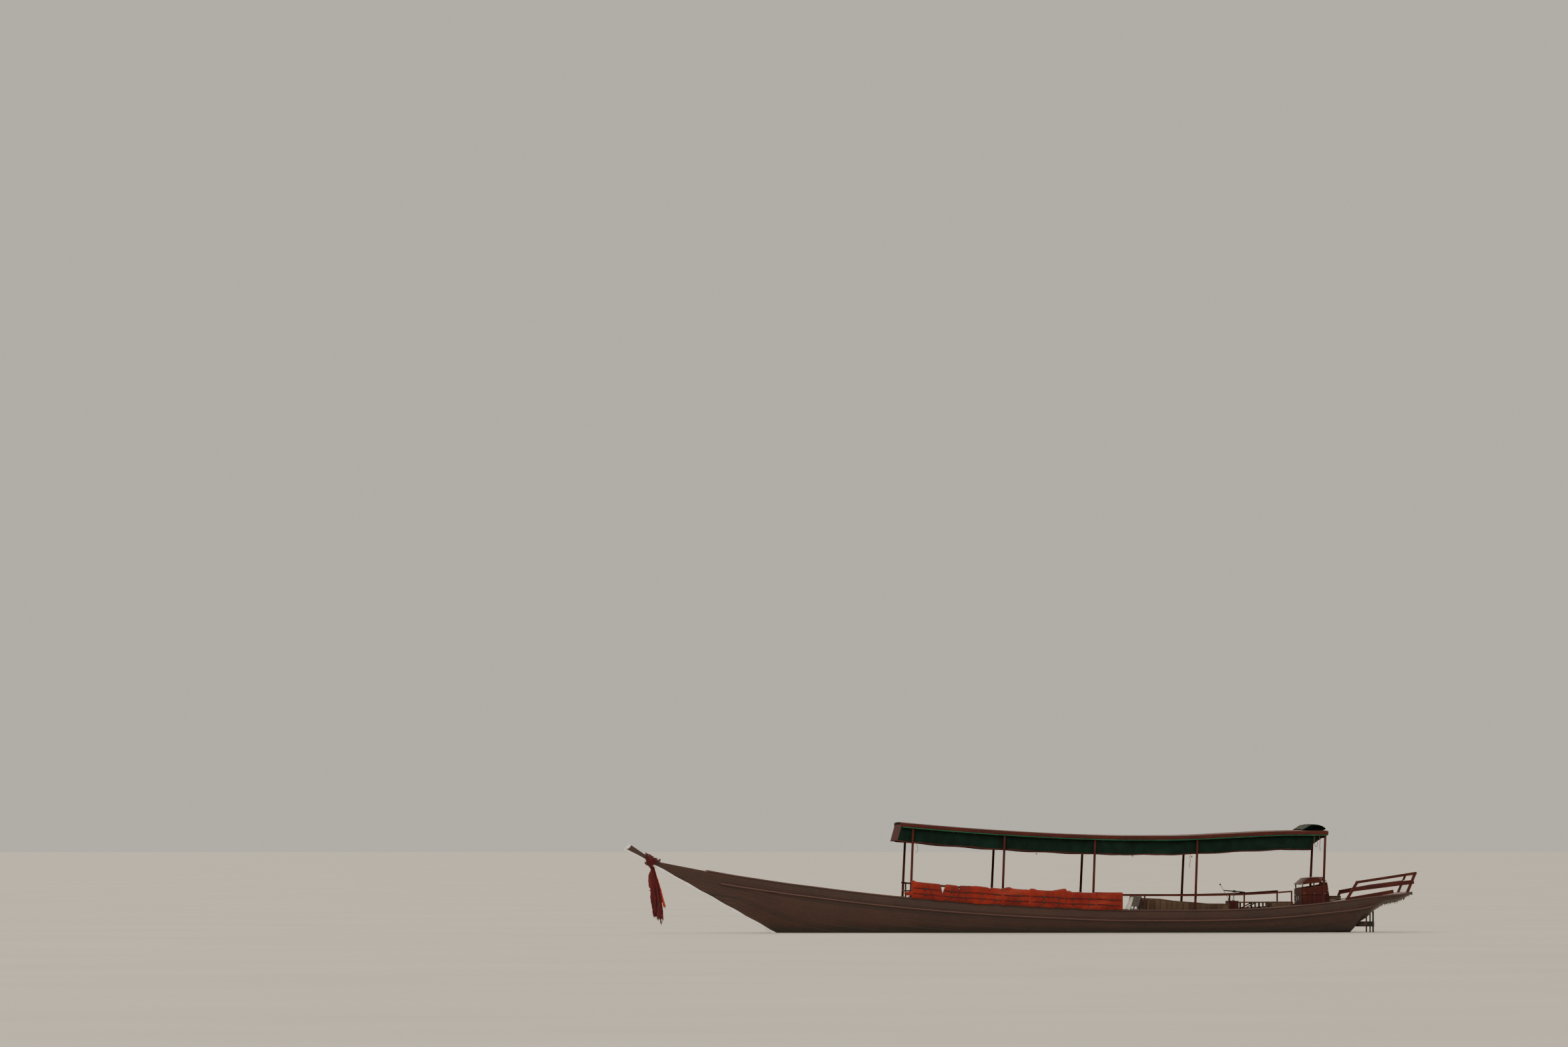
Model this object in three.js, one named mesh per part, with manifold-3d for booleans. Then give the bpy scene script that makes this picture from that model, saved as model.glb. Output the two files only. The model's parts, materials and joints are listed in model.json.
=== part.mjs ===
// Wooden river passenger motorboat with a canopy, built from named solids.
// Units are millimetres. The bow points to -X, port is -Y, +Z is up.
// The origin lies amidships on the waterline, so z = 0 is the water's surface.
import * as THREE from "three";
import { mergeVertices } from "three/addons/utils/BufferGeometryUtils.js";
import Module from "manifold-3d";

const wasm = await Module();
wasm.setup();

// Clearances
const GAP = 0.3;             // between two solids that touch
const RUNNING = 0.8;         // between a bore and the shaft that turns in it
const FAR = 1000;            // wider than half the boat, for solids that others cut to size
const DEEP = -500;           // below the whole boat

// Hull
const PLANK = 35;            // thickness of the planking
const KEEL_HALF = 45;        // half the width of keel and stem
const KEEL_PROUD = 30;       // how far the keel stands below the planking
const KEEL_INSIDE = 60;      // how far it stands above the planking's lower edge
const KEEL_FLAT = { start: -2430, end: 3600, z: -300 };
const STEM_PROUD = 45;       // how far the stem stands ahead of the planking
const STEM_SLOPE = 0.5575;   // rise per length of the straight raked stem
const STEM_FOOT_X = -4633;   // where the stem's face cuts the water
const STEM_HEAD = [{ x: -7283, z: 1641 }, { x: -7010, z: 1456 }, { x: -6690, z: 1298 }];
const STEM_TIP_X = -7384;
const SKEG = { top: -391, sole: -420, front: 6000, neck: 6035, foot: 6085, end: 6720 };
const CAP = { thick: 30, inboard: 90, proud: 12, start: -5850, end: 7306 };
const RUB = { top: 185, bottom: 225, proud: 34, start: -5606, end: 6514 };
const FLOOR = { top: -95, overKeel: 115, thick: 22, start: -3350, end: 5100 };
const PLANK_BUTTS = [-2000, 2700];                      // where the planking's lengths meet
const LENGTHS = ["fore", "middle", "aft"];
const RIB = {
  wide: 34, deep: 45, gap: 0.9,
  at: [
    [-3409, -2430, -1754, -1078],
    [-398, 281, 1089, 1897],
    [3000, 4029, 5000, 5617],
  ],
  ties: [-3409, -738, 2448, 5617],                        // where the stringers' lengths meet
};
const TIE = { near: 90, far: 135, deep: 42 };           // stringers along the floor timbers
const BEARER = { start: 5140, end: 5830, y: 260, half: 30, deep: 70 };
const FORE_DECK = { thick: 26, start: -5606, end: -2560, drop: 110, riser: 22, riserFoot: 40 };
const AFT_DECK = { start: 5806, end: 7281, below: 2 };
const TRANSOM = { x: 7293, thick: 22 };

// Seats and stowage
const BENCH = {
  seat: 235, thick: 28, deep: 370, back: 674, rake: 0.253, pitch: 880, last: 2060, count: 5,
  side: 190, board: 22, upright: 50,
};
const LOCKER = {
  start: 2215, end: 3850, half: 560, wall: 22,
  top: [[3850, 536], [3540, 534], [3289, 556], [2786, 596], [2497, 634], [2300, 638]],
};
const BOX_SEAT = { start: 4664, end: 5096, half: 300, top: 572, wall: 20 };
const HELM_SEAT = { start: 4152, end: 4636, half: 240, top: 570, thick: 26, leg: 32 };
const LOW_BOX = { start: 5778, end: 6018, half: 200, top: 678 };

// Canopy
const POST = { radius: 19, rake: 0.042, lean: 50, sides: 10, inboard: 50 };
const FOOT_PAD = { half: 45, wide: 30, thick: 8 };
const ROOF = { thick: 24, crown: 6, edge: 12, fascia: 80, board: 18, start: -2278, end: 5684 };
const PURLIN = { inset: 39, wide: 30, top: 36, bottom: 103 };      // depths below the roof line
const CROSS = { wide: 40, top: 100, bottom: 145 };
const FRONT_BAR = { z: 775, half: 16 };
const VALANCE = {
  thick: 8, top: 40, depth: 365, frontDepth: 353, hem: 22, hemProud: 7, lean: 87,
  fullTo: 5385, fullDepth: 268, endDepth: 90,
};
const AWNING = {
  half: 600, seats: [5196, 5394, 5684],
  back: [[5680, 28], [5606, 82], [5519, 110], [5412, 112], [5350, 98], [5283, 52], [5196, 3]],
};

// Rails and what hangs on them
const RAIL = { height: 280, width: 34, depth: 32, start: -2140, end: 4990, fromPost: 22 };
const STANCHION = { half: 14, at: [-2058, -1290, 380, 2210, 4080, 4975] };
const JACKETS = { start: -2110, end: 1790, foot: 6, proud: 66, over: 48 };
const STERN_RAIL = { inboard: 45, post: [34, 50], board: [30, 78], lowBoard: [30, 66] };
const TAFFRAIL = {
  boards: [{ x: 7364, z: 1060, tall: 40, clear: 22 }, { x: 7312, z: 938, tall: 54, clear: 14 }], half: 12,
  slats: [-0.75, -0.25, 0.25, 0.75], slatHalf: 72, foot: [7222, 748], head: [7364, 1074], slat: 18,
};

// Helm and engine
const CONSOLE = { start: 3897, end: 4081, half: 210, top: 585 };
const WHEEL = { x: 4030, z: 762, radius: 196, grip: 11, tilt: 0.094, hub: [30, 34, 40], spoke: 7 };
const COLUMN = { radius: 15, length: 220 };
const LEVER = { y: -120, foot: [3915, 591], head: [3747, 891], radius: 6, knob: 17 };
const ENGINE_BOX = { front: 5229, aft: 5765, half: 395, floor: 60, wall: 22, rim: 818, rimAft: [5655, 882] };
const LID = {
  overhang: 8, side: 14, front: 893, bend: [5357, 1012], aft: [5668, 1027], thick: 22, lip: [5240, 884],
  gable: 20, gableFoot: [[5664, 985], [5590, 926], [5400, 908]], legs: [5244, 5588], leg: 24, armY: 270,
};
const HINGE = { x: 5711, z: 948, pin: 9 };
const ENGINE = { start: 5270, end: 5690, half: 250, top: 560 };

// Stern gear
const SHAFT = { x: 6400, z: -200, slope: -0.2666, radius: 17, entry: 5990, sides: 14 };
const PROPELLER = { radius: 170, hub: 34, length: 96, blades: 3 };
const RUDDER = {
  x: 6652, stock: 16, top: 395, pintle: 10, heel: -401, blade: [6590, 6860, -365, -70], half: 9,
};
const PLATFORM = { start: 6316, end: 6634, half: 222, low: 105, top: 200 };
const STRUT = { x: 6560, y: 190, low: -160, top: 420, radius: 14, sides: 8, guardX: 6200, guardZ: -120 };

// Ribbons at the bow: x along the stem and radius of the bound cloth, then the hanging tail
const WRAP = {
  rings: [[-6915, 80], [-6890, 102], [-6850, 96], [-6812, 104], [-6785, 84]], sides: 12, taller: 1.15,
};
const TAIL = {
  rows: [
    { z: 1195, x: -6812, w: 34 }, { z: 1085, x: -6800, w: 45 }, { z: 1000, x: -6795, w: 80 },
    { z: 850, x: -6765, w: 130 }, { z: 600, x: -6725, w: 150 }, { z: 400, x: -6715, w: 130 },
    { z: 150, x: -6700, w: 40 },
  ],
  half: 52, edge: 28,
};

// Materials
const material = (color, roughness, metalness = 0) =>
  new THREE.MeshStandardMaterial({ color, roughness, metalness });
const MAT = {
  hull: material(0x5a2a18, 0.55),
  keel: material(0x4a2517, 0.6),
  trim: material(0x7a2d1c, 0.5),
  deck: material(0x8a5a34, 0.7),
  frame: material(0x6d4428, 0.75),
  paint: material(0x8c2a1e, 0.45),
  roof: material(0x6e2a1c, 0.6),
  tarp: material(0x1f5a3c, 0.8),
  jacket: material(0xd8431c, 0.85),
  steel: material(0x8d9092, 0.4, 0.8),
  bronze: material(0xa57b3c, 0.35, 0.9),
  iron: material(0x3c3f42, 0.6, 0.6),
  rubber: material(0x1d1d1e, 0.6),
  sash: material(0xc22a3a, 0.8),
};

// Hull stations: x, keel line k, top of the gunwale s, half-breadth b, fullness n, flare f
const STATIONS = [
  { x: -6720, k: 1208, s: 1334, b: 76, n: 1.15, f: 0.3 },
  { x: -6300, k: 974, s: 1250, b: 130, n: 1.15, f: 0.3 },
  { x: -5850, k: 724, s: 1162, b: 196, n: 1.18, f: 0.3 },
  { x: -5362, k: 451, s: 1073, b: 270, n: 1.22, f: 0.28 },
  { x: -4874, k: 179, s: 997, b: 340, n: 1.28, f: 0.25 },
  { x: -4633, k: 45, s: 960, b: 375, n: 1.33, f: 0.24 },
  { x: -4300, k: -110, s: 912, b: 420, n: 1.42, f: 0.22 },
  { x: -3900, k: -208, s: 862, b: 475, n: 1.55, f: 0.2 },
  { x: -3409, k: -255, s: 798, b: 540, n: 1.75, f: 0.18 },
  { x: -2430, k: -270, s: 688, b: 628, n: 2.05, f: 0.15 },
  { x: -1078, k: -270, s: 570, b: 765, n: 2.4, f: 0.12 },
  { x: 281, k: -270, s: 490, b: 850, n: 2.6, f: 0.1 },
  { x: 1897, k: -270, s: 430, b: 885, n: 2.7, f: 0.1 },
  { x: 3000, k: -262, s: 427, b: 880, n: 2.7, f: 0.1 },
  { x: 4029, k: -232, s: 443, b: 860, n: 2.7, f: 0.1 },
  { x: 5000, k: -168, s: 500, b: 815, n: 2.6, f: 0.1 },
  { x: 5617, k: -98, s: 562, b: 775, n: 2.6, f: 0.1 },
  { x: 6000, k: -38, s: 604, b: 735, n: 2.5, f: 0.1 },
  { x: 6200, k: 22, s: 630, b: 712, n: 2.4, f: 0.1 },
  { x: 6292, k: 115, s: 642, b: 700, n: 2.3, f: 0.1 },
  { x: 6375, k: 215, s: 653, b: 688, n: 2.3, f: 0.1 },
  { x: 6514, k: 298, s: 668, b: 668, n: 2.3, f: 0.1 },
  { x: 6636, k: 404, s: 682, b: 648, n: 2.3, f: 0.1 },
  { x: 6835, k: 525, s: 701, b: 612, n: 2.3, f: 0.1 },
  { x: 7070, k: 566, s: 722, b: 562, n: 2.3, f: 0.1 },
  { x: 7293, k: 690, s: 757, b: 484, n: 2.3, f: 0.1 },
];

// Monotone cubic through one column of a table, so a line is fair and never overshoots
function fair(table, column, x) {
  const last = table.length - 1;
  if (x <= table[0].x) return table[0][column];
  if (x >= table[last].x) return table[last][column];
  let i = 0;
  while (table[i + 1].x < x) i += 1;
  const slope = (j) => (table[j + 1][column] - table[j][column]) / (table[j + 1].x - table[j].x);
  const tangent = (j) => {
    if (j === 0) return slope(0);
    if (j === last) return slope(last - 1);
    const before = slope(j - 1);
    const after = slope(j);
    return before * after <= 0 ? 0 : (2 * before * after) / (before + after);
  };
  const span = table[i + 1].x - table[i].x;
  const t = (x - table[i].x) / span;
  const h = (1 - t) * (1 - t);
  return (
    h * (1 + 2 * t) * table[i][column] +
    h * t * span * tangent(i) +
    t * t * (3 - 2 * t) * table[i + 1][column] +
    t * t * (t - 1) * span * tangent(i + 1)
  );
}

// The table's stations, and the points halfway between those that lie far apart
const FAR_APART = 240;
const SECTIONS = STATIONS.flatMap((row, i) => {
  if (i === 0) return [row.x];
  const before = STATIONS[i - 1].x;
  return row.x - before > FAR_APART ? [(before + row.x) / 2, row.x] : [row.x];
});
const sectionsBetween = (start, end) => [start, ...SECTIONS.filter((x) => x > start + 1 && x < end - 1), end];

// Height at x on the straight line through two points
const onLine = (a, b, x) => a.z + ((b.z - a.z) * (x - a.x)) / (b.x - a.x);

// A line as built: given by a formula at the sections and straight between them
function built(formula) {
  const rows = SECTIONS.map((x) => ({ x, z: formula(x) }));
  return (x) => {
    if (x >= rows[rows.length - 1].x) return rows[rows.length - 1].z;
    const i = Math.max(1, rows.findIndex((row) => row.x >= x));
    return onLine(rows[i - 1], rows[i], x);
  };
}
const keel = built((x) => fair(STATIONS, "k", x));
const sheer = built((x) => fair(STATIONS, "s", x));
const half = built((x) => fair(STATIONS, "b", x));
const fullness = built((x) => fair(STATIONS, "n", x));
const flare = built((x) => fair(STATIONS, "f", x));
const floorTop = built((x) => Math.max(FLOOR.top, keel(x) + FLOOR.overKeel));
const stemFace = (x) => STEM_SLOPE * (STEM_FOOT_X - x);
const stemTop = (x) => (x < STEM_HEAD[1].x
  ? onLine(STEM_HEAD[0], STEM_HEAD[1], x)
  : onLine(STEM_HEAD[1], STEM_HEAD[2], x));

// Lower edge of the section that lies inset millimetres inside the planking's outer face;
// a sharp section needs more height for the same thickness
const bottom = (x, inset) => keel(x) + inset * (1.1 + 1.6 * Math.max(0, 2 - fullness(x)));

// Half-breadth at height z, inset from the planking's outer face: a superellipse with flare
function skin(x, z, inset = 0) {
  const top = sheer(x) - CAP.thick;
  const low = inset ? bottom(x, inset) : keel(x);
  const u = Math.min(1, Math.max(0, (z - low) / (top - low)));
  const n = fullness(x);
  const f = flare(x);
  const round = Math.pow(1 - Math.pow(1 - u, n), 1 / n);
  return KEEL_HALF + GAP + (half(x) - inset - KEEL_HALF - GAP) * ((1 - f) * round + f * u);
}

// Heights of a section's points: up the bottom, the rub rail's two edges, the top
function levels(x, inset = 0) {
  const low = inset ? bottom(x, inset) : keel(x);
  const top = sheer(x) - CAP.thick - GAP;
  const railLow = Math.max(sheer(x) - RUB.bottom, low + 0.5 * (top - low));
  const railHigh = Math.max(sheer(x) - RUB.top, low + 0.62 * (top - low));
  const rises = [0, 0.03, 0.1, 0.22, 0.4, 0.65];
  return [...rises.map((r) => low + r * (railLow - low)), railLow, railHigh, top];
}

// The planks thin out where the section is narrow or shallow
const plankThick = (x) => Math.min(PLANK, 0.35 * (half(x) - KEEL_HALF), 0.25 * (sheer(x) - keel(x)));

// Solids
const v = (x, y, z) => new THREE.Vector3(x, y, z);

function toSolid(geometry) {
  const plain = geometry.clone();
  plain.deleteAttribute("normal");
  plain.deleteAttribute("uv");
  const merged = mergeVertices(plain, 1e-3);
  return new wasm.Manifold(
    new wasm.Mesh({
      numProp: 3,
      vertProperties: new Float32Array(merged.attributes.position.array),
      triVerts: new Uint32Array(merged.index.array),
    })
  );
}

function toGeometry(solid) {
  const mesh = solid.getMesh();
  const geometry = new THREE.BufferGeometry();
  geometry.setAttribute("position", new THREE.BufferAttribute(mesh.vertProperties, 3));
  geometry.setIndex(new THREE.BufferAttribute(mesh.triVerts, 1));
  return geometry;
}

const join = (...geometries) => toGeometry(geometries.map(toSolid).reduce((sum, next) => sum.add(next)));

const cut = (geometry, ...tools) =>
  toGeometry(tools.map(toSolid).reduce((rest, tool) => rest.subtract(tool), toSolid(geometry)));

const keepWithin = (geometry, region) => toGeometry(toSolid(geometry).intersect(toSolid(region)));

function volume(geometry) {
  const p = geometry.attributes.position.array;
  const index = geometry.index.array;
  const [a, b, c] = [v(0, 0, 0), v(0, 0, 0), v(0, 0, 0)];
  let total = 0;
  for (let i = 0; i < index.length; i += 3) {
    a.fromArray(p, index[i] * 3);
    b.fromArray(p, index[i + 1] * 3);
    c.fromArray(p, index[i + 2] * 3);
    total += a.dot(b.cross(c));
  }
  return total / 6;
}

function faceOut(geometry) {
  if (volume(geometry) < 0) {
    const index = Array.from(geometry.index.array);
    for (let i = 0; i < index.length; i += 3) {
      [index[i + 1], index[i + 2]] = [index[i + 2], index[i + 1]];
    }
    geometry.setIndex(index);
  }
  return geometry;
}

// Skin between rings of points. Each ring goes out along one side of a strip and back along
// the other, so its end caps are the strip's quads.
function loft(rings) {
  const count = rings[0].length;
  const position = rings.flatMap((ring) => ring.flatMap((p) => [p.x, p.y, p.z]));
  const index = [];
  for (let i = 0; i + 1 < rings.length; i += 1) {
    for (let j = 0; j < count; j += 1) {
      const k = (j + 1) % count;
      const [a, b, c, d] = [i * count + j, i * count + k, (i + 1) * count + k, (i + 1) * count + j];
      index.push(a, b, c, a, c, d);
    }
  }
  const end = (rings.length - 1) * count;
  for (let j = 0; j + 1 < count / 2; j += 1) {
    const [a, b, c, d] = [j, j + 1, count - 2 - j, count - 1 - j];
    index.push(a, c, b, a, d, c);
    index.push(end + a, end + b, end + c, end + a, end + c, end + d);
  }
  const geometry = new THREE.BufferGeometry();
  geometry.setAttribute("position", new THREE.Float32BufferAttribute(position, 3));
  geometry.setIndex(index);
  return faceOut(geometry);
}

function box(x0, x1, y0, y1, z0, z1) {
  return new THREE.BoxGeometry(x1 - x0, y1 - y0, z1 - z0).translate(
    (x0 + x1) / 2, (y0 + y1) / 2, (z0 + z1) / 2
  );
}

// A round bar between two points
function rod(from, to, radius, sides = 12) {
  const along = to.clone().sub(from);
  const turn = new THREE.Quaternion().setFromUnitVectors(v(0, 1, 0), along.clone().normalize());
  return new THREE.CylinderGeometry(radius, radius, along.length(), sides)
    .applyQuaternion(turn)
    .translate((from.x + to.x) / 2, (from.y + to.y) / 2, (from.z + to.z) / 2);
}

// A square bar between two points, upright in its own vertical plane, a little longer at both ends
function beam(from, to, across, deep) {
  const along = to.clone().sub(from).normalize();
  const side = v(0, 0, 1).cross(along).normalize().multiplyScalar(across / 2);
  const up = along.clone().cross(side.clone().normalize()).normalize().multiplyScalar(deep / 2);
  const ring = (p) => [
    p.clone().add(side).add(up), p.clone().sub(side).add(up),
    p.clone().sub(side).sub(up), p.clone().add(side).sub(up),
  ];
  const stretch = along.clone().multiplyScalar(across * 0.4);
  return loft([ring(from.clone().sub(stretch)), ring(to.clone().add(stretch))]);
}

// A side profile in the XZ plane made y0 to y1 thick
function plate(outline, y0, y1) {
  const shape = new THREE.Shape(outline.map(([x, z]) => new THREE.Vector2(x, z)));
  return new THREE.ExtrudeGeometry(shape, { depth: y1 - y0, bevelEnabled: false, steps: 1 })
    .rotateX(Math.PI / 2)
    .translate(0, y1, 0);
}

// A long bar over the given sections, whose rectangle { y: [a, b], z: [a, b] } follows x
function batten(sections, rectangle) {
  return loft(
    sections.map((x) => {
      const { y, z } = rectangle(x);
      const [y0, y1] = [Math.min(...y), Math.max(...y)];
      return [v(x, y0, z[0]), v(x, y1, z[0]), v(x, y1, z[1]), v(x, y0, z[1])];
    })
  );
}
const hullBatten = (start, end, rectangle) => batten(sectionsBetween(start, end), rectangle);

// Closed shell whose half section is the list of { y, z } points at each x
const shell = (sections, halfSection) =>
  loft(sections.map((x) => {
    const points = halfSection(x);
    return [...points.map((p) => v(x, -p.y, p.z)), ...points.reverse().map((p) => v(x, p.y, p.z))];
  }));

// Everything inside the planking, inset from its inner face, raised at the top by rise
const insideHull = (x0, x1, inset, rise = 0) =>
  shell(sectionsBetween(x0, x1), (x) => {
    const thick = plankThick(x) + inset;
    const points = levels(x, thick).map((z) => ({ y: skin(x, z, thick), z }));
    points[points.length - 1].z += rise;
    return points;
  });

// Everything within the planking's outer face and the keel at the stern, with a small gap
function withinOuterSkin(x0, x1) {
  const grow = { y: 4, z: 1.5 };
  const hull = shell(sectionsBetween(x0, x1), (x) =>
    levels(x).map((z) => ({ y: skin(x, z) + grow.y, z: z - grow.z })));
  const spine = hullBatten(x0, x1, (x) => ({
    y: [-KEEL_HALF - GAP, KEEL_HALF + GAP],
    z: [keel(x) - KEEL_PROUD - GAP, keel(x) + KEEL_INSIDE / 3],
  }));
  return join(hull, spine);
}

const belowGunwale = (x0, x1) =>
  hullBatten(x0, x1, (x) => ({ y: [-FAR, FAR], z: [DEEP, sheer(x) + GAP] }));

const SIDES = [
  { name: "port", sign: -1 },
  { name: "starboard", sign: 1 },
];
const bothSides = (make) => SIDES.map(({ sign }) => make(sign));

// Hull
// One of the planking's three lengths on one side
function planking(sign, length) {
  const ends = [SECTIONS[0], ...PLANK_BUTTS, SECTIONS[SECTIONS.length - 1]];
  const start = ends[length] + (length > 0 ? GAP : 0);
  return loft(
    sectionsBetween(start, ends[length + 1]).map((x) => {
      const thick = plankThick(x);
      const outer = levels(x).map((z) => v(x, sign * skin(x, z), z));
      const inner = levels(x, thick).map((z) => v(x, sign * skin(x, z, thick), z));
      return [...outer, ...inner.reverse()];
    })
  );
}

const gunwale = (sign) =>
  hullBatten(CAP.start, CAP.end, (x) => ({
    y: [sign * (half(x) - CAP.inboard), sign * (half(x) + CAP.proud)],
    z: [sheer(x) - CAP.thick, sheer(x)],
  }));

// A strip on the planking whose inner corners follow the planking's own points
function rubRail(sign) {
  const clear = GAP + 0.2;
  const chamfer = 4;
  return loft(
    sectionsBetween(RUB.start, RUB.end).map((x) => {
      const [low, high] = levels(x).slice(-3, -1);
      const [a, b] = [skin(x, low) + clear, skin(x, high) + clear];
      return [
        v(x, sign * (a + RUB.proud), low + chamfer), v(x, sign * a, low),
        v(x, sign * b, high), v(x, sign * (b + RUB.proud), high - chamfer),
      ];
    })
  );
}

const shaftAt = (x) => v(x, 0, SHAFT.z + SHAFT.slope * (x - SHAFT.x));

// Keel, stem and skeg in one side profile, bored for the propeller shaft and the rudder stock
function backbone() {
  const counterStart = 6514;
  const counterRun = 400;      // the keel fades into the counter over this length
  const proud = (x) => {
    if (x < -4300) return STEM_PROUD;
    return x < counterStart ? KEEL_PROUD : Math.max(0.5, KEEL_PROUD * (1 - (x - counterStart) / counterRun));
  };
  const inside = (x) => keel(x) + Math.min(KEEL_INSIDE, 0.3 * (sheer(x) - keel(x)));
  const under = (from, to) => SECTIONS.filter((x) => x > from && x < to).map((x) => [x, keel(x) - proud(x)]);
  const top = SECTIONS.filter((x) => x > -6500 && x < AFT_DECK.end).map((x) => [x, inside(x)]);
  const outline = [
    [STEM_HEAD[0].x, STEM_HEAD[0].z], [STEM_TIP_X, stemFace(STEM_TIP_X)],
    ...under(-4700, -2600),
    [KEEL_FLAT.start, KEEL_FLAT.z], [KEEL_FLAT.end, KEEL_FLAT.z],
    [SKEG.front, SKEG.sole], [SKEG.end, SKEG.sole], [SKEG.end, SKEG.top], [SKEG.foot, SKEG.top],
    [SKEG.neck, -165], [SKEG.neck + 15, keel(SKEG.neck + 15) - KEEL_PROUD],
    ...under(6150, AFT_DECK.end),
    [AFT_DECK.end, keel(AFT_DECK.end) - 0.5], [AFT_DECK.end, inside(AFT_DECK.end)],
    ...top.reverse(),
    [-6600, inside(-6600)], [STEM_HEAD[2].x, STEM_HEAD[2].z], [STEM_HEAD[1].x, STEM_HEAD[1].z],
  ];
  const stock = (low, high, radius) => rod(v(RUDDER.x, 0, low), v(RUDDER.x, 0, high), radius);
  return cut(
    plate(outline, -KEEL_HALF, KEEL_HALF),
    rod(shaftAt(SHAFT.entry - 60), shaftAt(SHAFT.entry + 200), SHAFT.radius + RUNNING, SHAFT.sides),
    stock(PLATFORM.top + 110, RUDDER.top + 3, RUDDER.stock + RUNNING),
    stock(SKEG.sole + 10, SKEG.top + 11, RUDDER.pintle + 2)
  );
}

// Ribs with floor timbers, tied by two stringers, and the bearers that carry the engine box,
// for one of the boat's three lengths
function frames(length) {
  const above = (geometry, z) => keepWithin(geometry, box(-9 * FAR, 9 * FAR, -FAR, FAR, z, 4 * FAR));
  const under = (x) => floorTop(x) - FLOOR.thick - GAP;
  const past = 5;              // how far a cutting solid reaches past the rib's faces
  const ribs = RIB.at[length].map((x) => {
    const [x0, x1] = [x - RIB.wide / 2, x + RIB.wide / 2];
    const timberTop = x < FLOOR.end ? Math.min(under(x0), under(x1)) : ENGINE_BOX.floor - GAP;
    const outside = insideHull(x0, x1, RIB.gap, -2);
    const inside = above(insideHull(x0 - past, x1 + past, RIB.gap + RIB.deep, 80), timberTop);
    const keelTop = Math.max(keel(x0), keel(x), keel(x1)) + KEEL_INSIDE + GAP;
    const keelway = box(x0 - past, x1 + past, -KEEL_HALF - 1, KEEL_HALF + 1, DEEP, keelTop);
    if (x > FORE_DECK.end) return cut(outside, inside, keelway);
    const deckUnder = sheer(x) - FORE_DECK.drop - FORE_DECK.thick - 6;
    return cut(outside, inside, keelway, box(x0 - past, x1 + past, -FAR, FAR, deckUnder, 5 * FAR));
  });
  const first = RIB.ties[length] + (length > 0 ? GAP : 0);
  const last = RIB.ties[length + 1];
  const ties = bothSides((sign) => hullBatten(first, last, (x) => ({
    y: [sign * TIE.near, sign * TIE.far], z: [under(x) - TIE.deep, under(x)],
  })));
  const bearers = bothSides((sign) => box(
    BEARER.start, BEARER.end, sign * BEARER.y - BEARER.half, sign * BEARER.y + BEARER.half,
    ENGINE_BOX.floor - BEARER.deep, ENGINE_BOX.floor - GAP
  ));
  const within = insideHull(first - RIB.wide / 2, BEARER.end + 10, RIB.gap);
  const long = length === 2 ? [...ties, ...bearers] : ties;
  return join(...ribs, keepWithin(join(...long), within));
}

// Decks
const WITHIN_RIBS = RIB.gap + RIB.deep + 3;

function floorBoards() {
  const boards = hullBatten(FLOOR.start, FLOOR.end, (x) => ({
    y: [-FAR, FAR], z: [floorTop(x) - FLOOR.thick, floorTop(x)],
  }));
  return keepWithin(boards, insideHull(FLOOR.start - 50, FLOOR.end + 50, WITHIN_RIBS));
}

function foreDeck() {
  const { start, end, drop, thick, riser, riserFoot } = FORE_DECK;
  const boards = hullBatten(start, end, (x) => ({
    y: [-FAR, FAR], z: [sheer(x) - drop - thick, sheer(x) - drop],
  }));
  const step = box(end - riser, end, -FAR, FAR, riserFoot, sheer(end) - drop - 8);
  return join(
    keepWithin(boards, insideHull(start - 10, end + 10, 0.8)),
    keepWithin(step, insideHull(end - 40, end + 10, 5))
  );
}

const aftDeck = () =>
  hullBatten(AFT_DECK.start, AFT_DECK.end, (x) => {
    const y = half(x) - CAP.inboard - GAP;
    return { y: [-y, y], z: [sheer(x) - CAP.thick, sheer(x) - AFT_DECK.below] };
  });

function transom() {
  const x0 = TRANSOM.x + GAP;
  const [y, low, high] = [half(TRANSOM.x), keel(TRANSOM.x) + 6, sheer(TRANSOM.x) - CAP.thick - GAP - 1];
  const ring = (x) => [v(x, -y + 8, high), v(x, -y + 40, low), v(x, y - 40, low), v(x, y - 8, high)];
  return loft([ring(x0), ring(x0 + TRANSOM.thick)]);
}

// Seats and stowage
function bench(x) {
  const { seat, thick, deep, back, rake, side, board, upright } = BENCH;
  const wide = half(x) - side;
  const leaning = (z) => x + rake * (z - seat);
  const slab = (low, high, y0, y1) =>
    plate([
      [leaning(low), low], [leaning(high), high],
      [leaning(high) + board, high], [leaning(low) + board, low],
    ], y0, y1);
  const leg = (x0) => box(x0, x0 + board, -FAR, FAR, FLOOR.top + GAP, seat - 10);
  const base = join(box(x - deep, x + 20, -FAR, FAR, seat - thick, seat), leg(x - deep + 40), leg(x - 40));
  const uprights = [-wide + 60, -upright / 2, wide - 60 - upright].map((y) =>
    slab(seat - 40, back - 30, y, y + upright));
  return join(
    keepWithin(base, insideHull(x - deep - 30, x + 60, WITHIN_RIBS)),
    slab(seat + 70, seat + 205, -wide, wide),
    slab(seat + 245, back, -wide, wide),
    ...uprights
  );
}

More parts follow.
